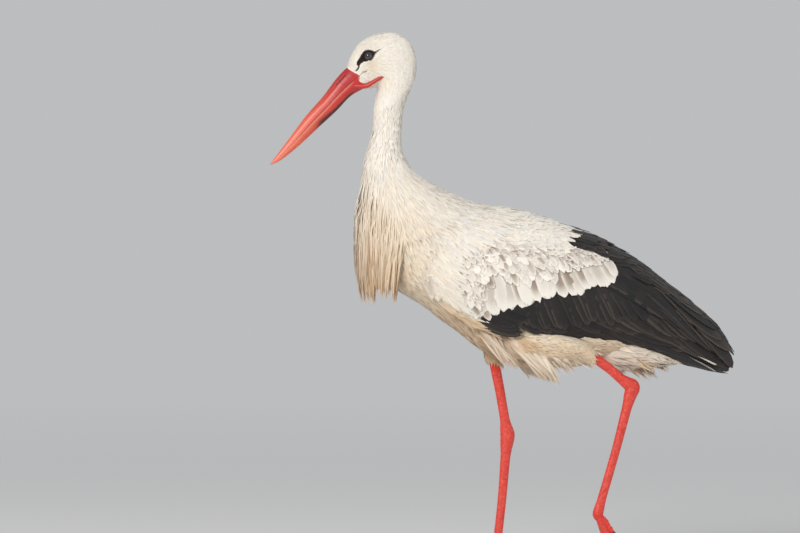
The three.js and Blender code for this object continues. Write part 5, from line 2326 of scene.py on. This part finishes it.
class Locks(Maker):
    """Hanging plumes: the beard of the breast, the flanks' loose fans and the undertail."""

    BEARD_LOCKS = 23
    BEARD_PLUMES = 150  # in each lock, over all its tiers
    BEARD_SPAN = 228.0  # degrees round the breast
    BEARD_REACH = (48, 29)  # of the tips aside and ahead
    BEARD_AXIS = -204  # from this place along the bird
    BEARD_STEP = (2, 9)  # how much further back and higher each tier's tips end
    BEARD_TIERS = (  # row of the roots, share of the plumes
        (15.8, 0.08), (16.5, 0.16), (17.2, 0.24), (17.9, 0.28), (18.5, 0.24),
    )
    BEARD_AREA = ((-300, 400), (-300, 660), (-60, 660), (-60, 400))
    BEARD_TIPS = (  # angle round the breast in degrees, height of the lock's end
        (-122, 428), (-60, 416), (-20, 418), (10, 412), (30, 402), (50, 409), (68, 426), (88, 411),
        (122, 412),
    )
    FLANKS = (
        Lock((56, -6, 362), (57, 50, 295), 90, (7, 14, 8), 3.5, (5, 2, 0)),
        Lock((58, 8, 362), (61, 63, 292), 90, (7, 14, 8), 3.5, (5, 4, 0)),
        Lock((56, 26, 360), (56, 84, 309), 80, (8, 16, 8), 5, (4, 6, 0)),
        Lock((52, 46, 354), (53, 104, 322), 70, (9, 16, 7), 6, (3, 7, 0)),
        Lock((50, 74, 350), (49, 128, 328), 60, (9, 16, 6), 6, (3, 5, 0)),
        Lock((50, -46, 372), (50, 0, 316), 70, (9, 16, 8), 5, (4, 0, 0)),
    )
    VENT_TUFTS = (  # place of the roots across and along, height of the tips
        (-20, 186, 296), (-6, 204, 294), (8, 190, 293), (21, 198, 300), (2, 222, 304), (-14, 160, 300),
    )
    TAIL_FEATHERS = 12

    def __init__(self, plan: Plan, finishes: Finishes) -> None:
        """Args: plan, finishes: see Maker."""
        super().__init__(plan, finishes)
        self.chance = np.random.default_rng(21)

    def hang(self, lock: Lock, width: float, axis: tuple[float, float], up: float = 0.0) -> Shafts:
        """Plumes of one lock.

        Args:
            lock: the lock.
            width: of each plume.
            axis: (x, y) of the upright line that the plumes face away from.
            up: how far the shortest plume's tip stays above the lock's.

        Returns: the plumes.
        """
        chance, count = self.chance, lock.count
        roots = np.array(lock.root) + chance.uniform(-1, 1, (count, 3)) * lock.spread
        tips = np.array(lock.tip) + chance.normal(0, 1, (count, 3)) * lock.close
        short = chance.random(count) ** 2.0
        along = Cut.LANCE.places[None, :, None]
        tips = tips + (roots - tips) * (short * up)[:, None]
        run = tips - roots
        first = roots + run * 0.3 + np.array(lock.swell)
        second = roots + run * 0.7 + np.array(lock.swell) * 0.6
        bow = chance.normal(0, 1.3, (count, 3))
        first, second = first + bow, second - bow
        spots = (
            (1 - along) ** 3 * roots[:, None]
            + 3 * (1 - along) ** 2 * along * first[:, None]
            + 3 * (1 - along) * along**2 * second[:, None]
            + along**3 * tips[:, None]
        )
        out = spots - np.array((*axis, 0.0))
        out[..., 2] = 8.0
        half = width / 2 * chance.uniform(0.7, 1.25, count)
        root_map = self.plan.body.unwrap(roots)
        return Shafts(spots, unit(out), half, root_map, 0.25, 0.06, chance.normal(0, 0.05, count), 0.1)

    def shade(
        self, shafts: Shafts, warm: float, grain: float = 0.07, pale: float = 0.0, gain: float = 1.0
    ) -> Painter:
        """Colours of hanging plumes: cream, turning to tan towards their tips.

        Args:
            shafts: the plumes.
            warm: how tan they turn.
            grain: how far one differs from another.
            pale: how far they are whiter than the body there.
            gain: of all of them.

        Returns: a painter for Skein.lay.
        """
        start = Markings.plumage(shafts.spots[:, 0])
        base = mix(Markings.plumage(shafts.spots[:, 2]), Palette.WHITE, pale)
        turn = np.clip(self.chance.normal(warm, 0.22, shafts.count), 0, 1)
        gain = self.chance.normal(gain, grain, shafts.count)

        def paint(along: Array, across: Array) -> Array:
            """See Skein.lay."""
            away = ease(0.0, 0.35, along)[:, None, None]
            # the tan towards the tips is partly the plumes' own colour and partly painted shade of their
            # lower ends
            part = turn[:, None, None] * ease(0.3, 1.0, along)[:, None] * (1 - 0.2 * across**2)
            colour = mix(start[:, None, None], base[:, None, None], away)
            colour = mix(colour, Palette.TAN, part[..., None])
            return colour * gain[:, None, None, None]

        return paint

    def beard(self) -> None:
        """The long plumes that hang from the lower neck, drawn together in pointed strands."""
        skein = Skein(self.plan)
        plan, chance, count, tiers = self.plan, self.chance, self.BEARD_LOCKS, self.BEARD_TIERS
        hull = Hull(*plan.body.grid(np.linspace(12, 24, 70), 60))
        along = Cut.LANCE.places
        for i in range(count):
            swing = (i + chance.uniform(-0.2, 0.2)) * self.BEARD_SPAN / (count - 1)
            angle = math.radians(swing - self.BEARD_SPAN / 2)
            drop = np.interp(math.degrees(angle), *zip(*self.BEARD_TIPS)) + chance.uniform(-5, 13)
            sway = chance.normal(0, 2.2, 2)
            aside, ahead = self.BEARD_REACH
            end = sway + (aside * math.sin(angle), self.BEARD_AXIS - ahead * math.cos(angle))
            gain, warm = chance.normal(1.0, 0.03), 0.45 + 0.45 * chance.random()
            swell = (4 * math.sin(angle) + sway[1], -8 * max(math.cos(angle), 0.1) + sway[0], 0)
            for tier, (row, share) in enumerate(tiers):
                turn = math.pi - (angle + chance.normal(0, 0.1)) * 0.62
                root = plan.body.at(np.array(row), np.array(turn), -2.0)
                back, rise = self.BEARD_STEP
                tip = (end[0], end[1] + back * tier, drop + rise * (len(tiers) - 1 - tier))
                lock = Lock(tuple(root), tip, round(self.BEARD_PLUMES * share), (9, 5, 17), 1.4, swell)
                shafts = self.hang(lock, 3.4, (0, -150), 0.6)
                loose = chance.uniform(0, 4.5, (shafts.count, 1)) * ease(0.4, 0.95, along)
                levels = -2.5 + ease(0.0, 0.2, along) * (3.0 + loose)
                hull.lift_out(shafts, levels, self.BEARD_AREA, -1.0, -1.0, 2)
                skein.lay(shafts, Cut.LANCE, Section.HAIR, self.shade(shafts, warm, 0.035, gain=gain))
        settle(skein.made("feathers_beard", self.finishes.plume), "breast_plumes", "breast_plumes")

    def bib(self) -> None:
        """Feathers of the lower throat, laid over the roots of the beard."""
        plan = self.plan
        skein, layer = Skein(plan), Layer(plan, 22)
        row, turn = layer.scatter(plan.body, (14.1, 18.2), 2.5, (np.pi - 2.1, np.pi + 2.1))
        lie = Lie(46, 4.8, Cut.LANCE, Section.HAIR, 2.8, 5, 0.2, 0.12)
        shafts = layer.along_tube(plan.body, row, turn, lie, plan.depth, np.interp(row, (14, 16), (0.6, 1.0)))
        base = Markings.plumage(shafts.spots[:, 2])
        skein.lay(shafts, lie.cut, lie.section, layer.shade(shafts, base, root=0.2, spread=0.045))
        settle(skein.made("feathers_bib", self.finishes.plume), "white_plumage")

    def flanks(self) -> None:
        """The loose fans that hang behind the thighs."""
        skein = Skein(self.plan)
        for side in Side:
            for lock in self.FLANKS:
                shafts = self.hang(lock.turned(side, 2), 3.2, (0, 20), 0.5)
                skein.lay(shafts, Cut.LANCE, Section.HAIR, self.shade(shafts, 0.1, 0.05, pale=0.45))
        settle(skein.made("feathers_flanks", self.finishes.plume), "white_plumage")

    def undertail(self) -> None:
        """The soft white coverts under the tail."""
        plan = self.plan
        skein, layer = Skein(plan), Layer(plan, 23)
        row, turn = layer.scatter(plan.vent, (0.1, 2.9), 4.6)
        lie = Lie(34, 6.5, Cut.LANCE, Section.HAIR, 2.6, 8, 0.5, 0.2)
        shafts = layer.along_tube(plan.vent, row, turn, lie, 3.0)
        base = mix(Markings.plumage(shafts.spots[:, 2]), Palette.WHITE, 0.5)
        skein.lay(shafts, lie.cut, lie.section, layer.shade(shafts, base))
        for x, y, reach in self.VENT_TUFTS:
            lock = Lock((x, y - 16, 330), (x * 0.9, y + 24, reach), 54, (9, 12, 8), 3.6, (0, 5, 0))
            shafts = self.hang(lock, 4.6, (0, 170), 0.5)
            skein.lay(shafts, Cut.LANCE, Section.HAIR, self.shade(shafts, 0.05))
        settle(skein.made("feathers_undertail", self.finishes.plume), "white_plumage", "undertail_coverts")

    def tail(self) -> None:
        """Twelve white tail feathers, closed under the wing tips."""
        skein, layer = Skein(self.plan), Layer(self.plan, 24)
        count = self.TAIL_FEATHERS
        spread, along = np.linspace(-1, 1, count), Cut.BLADE.places
        fan, place = np.meshgrid(spread, along, indexing="ij")
        turn = 0.95 * fan * (0.75 + 0.2 * place)
        spots = self.plan.tail.at(0.1 + 2.8 * place, turn, 0.7 * (1 - np.abs(fan)) - 0.6)
        normals = np.stack([0.25 * fan, 0 * fan + 0.45, 0 * fan + 0.9], -1)
        roots = np.stack([(spread + 1) / 2, np.abs(spread)], 1)
        base = np.tile(Palette.WHITE, (count, 1))
        shafts = Shafts(spots, unit(normals), np.full(count, 11.0), roots, 0.6, 0.08, -0.06 * np.sign(spread))
        skein.lay(shafts, Cut.BLADE, Section.SHAFTED, layer.shade(shafts, base, edge=0.05))
        low = Shafts(spots - (0, 1, 11), -shafts.normals, np.full(count, 10.0), roots, 0.6, 0.05, 0.06)
        skein.lay(low, Cut.BLADE, Section.SHAFTED, layer.shade(low, base))
        settle(skein.made("feathers_tail", self.finishes.vane), "white_plumage", "tail")


# ------------------------------------------------------------------ studio


class Studio(Maker):
    """Floor, lights and camera."""

    BACKDROP = (0.50, 0.51, 0.52)
    TURN = 12.0  # degrees that the bird is turned from a plain side view
    RISE = 3.0
    REACH = 36.0
    LENS = 1080.0
    AIM = (-0.162, 0.46275)  # metres across and up the picture's plane
    CHEST = Vector((0, 0, 0.42))  # where the lamps point
    FLOOR = 40.0

    def floor(self) -> None:
        """A wide plain floor."""
        mesh = bpy.data.meshes.new("floor")
        shape = bmesh.new()
        bmesh.ops.create_circle(shape, cap_ends=True, radius=self.FLOOR, segments=96)
        shape.to_mesh(mesh)
        shape.free()
        mesh.materials.append(self.finishes.floor)
        floor = placed("floor", mesh)

    def lamp(self, name: str, place: tuple, size: float, power: float, colour: tuple) -> None:
        """Args: name, place, size, power, colour: of a soft square lamp aimed at the bird."""
        light = bpy.data.lights.new(name, "AREA")
        light.size = size
        light.energy = power
        light.color = colour
        lamp = placed(name, light)
        lamp.location = place
        lamp.rotation_euler = (self.CHEST - Vector(place)).to_track_quat("-Z", "Y").to_euler()

    def light(self) -> None:
        """The world and the lamps."""
        world = bpy.data.worlds.new("studio")
        bpy.context.scene.world = world
        world.use_nodes = True
        nodes, links = world.node_tree.nodes, world.node_tree.links
        soft = nodes["Background"]
        soft.inputs["Color"].default_value = (1.0, 1.0, 1.0, 1)
        soft.inputs["Strength"].default_value = 0.5
        shown = nodes.new("ShaderNodeBackground")
        shown.inputs["Color"].default_value = (*self.BACKDROP, 1)
        path = nodes.new("ShaderNodeLightPath")
        mix = nodes.new("ShaderNodeMixShader")
        links.new(path.outputs["Is Camera Ray"], mix.inputs[0])
        links.new(soft.outputs[0], mix.inputs[1])
        links.new(shown.outputs[0], mix.inputs[2])
        links.new(mix.outputs[0], nodes["World Output"].inputs["Surface"])
        self.lamp("key", (2.9, -2.3, 2.2), 1.2, 100, (1.0, 0.97, 0.93))
        self.lamp("fill", (2.4, 2.6, 1.2), 2.2, 20, (0.95, 0.97, 1.0))

    def camera(self) -> None:
        """The camera."""
        turn, rise = math.radians(self.TURN), math.radians(self.RISE)
        right = Vector((math.sin(turn), math.cos(turn), 0))
        up = Vector((-math.cos(turn) * math.sin(rise), math.sin(turn) * math.sin(rise), math.cos(rise)))
        back = Vector((math.cos(turn) * math.cos(rise), -math.sin(turn) * math.cos(rise), math.sin(rise)))
        aim = right * self.AIM[0] + up * self.AIM[1] + Vector((0, self.plan.shift * MM, 0))
        data = bpy.data.cameras.new("camera")
        data.lens = self.LENS
        data.sensor_width = 36.0
        data.clip_end = 200.0
        camera = placed("camera", data)
        camera.location = aim + back * self.REACH
        camera.rotation_euler = (-back).to_track_quat("-Z", "Y").to_euler()
        bpy.context.scene.camera = camera


def main() -> None:
    """Builds the stork piece by piece."""
    logging.basicConfig(level=logging.INFO, format="%(name)s: %(message)s", stream=sys.stdout)
    bpy.context.scene.view_settings.view_transform = "Standard"
    plan, finishes = Plan.drawn(), Finishes()
    studio = Studio(plan, finishes)
    for part in (studio.camera, studio.light, studio.floor):
        part()
    for maker in (Skin, Bill, Eye, Claws, Scutes):
        maker(plan, finishes).build()
    coat = Coat(plan, finishes)
    for part in (coat.head, coat.neck, coat.breast, coat.mantle, coat.belly, coat.thighs):
        part()
    for side in Side:
        Wing(plan, finishes, coat.wing_hull, side).build()
    locks = Locks(plan, finishes)
    for part in (locks.beard, locks.bib, locks.flanks, locks.undertail, locks.tail):
        part()


if __name__ == "__main__":
    main()
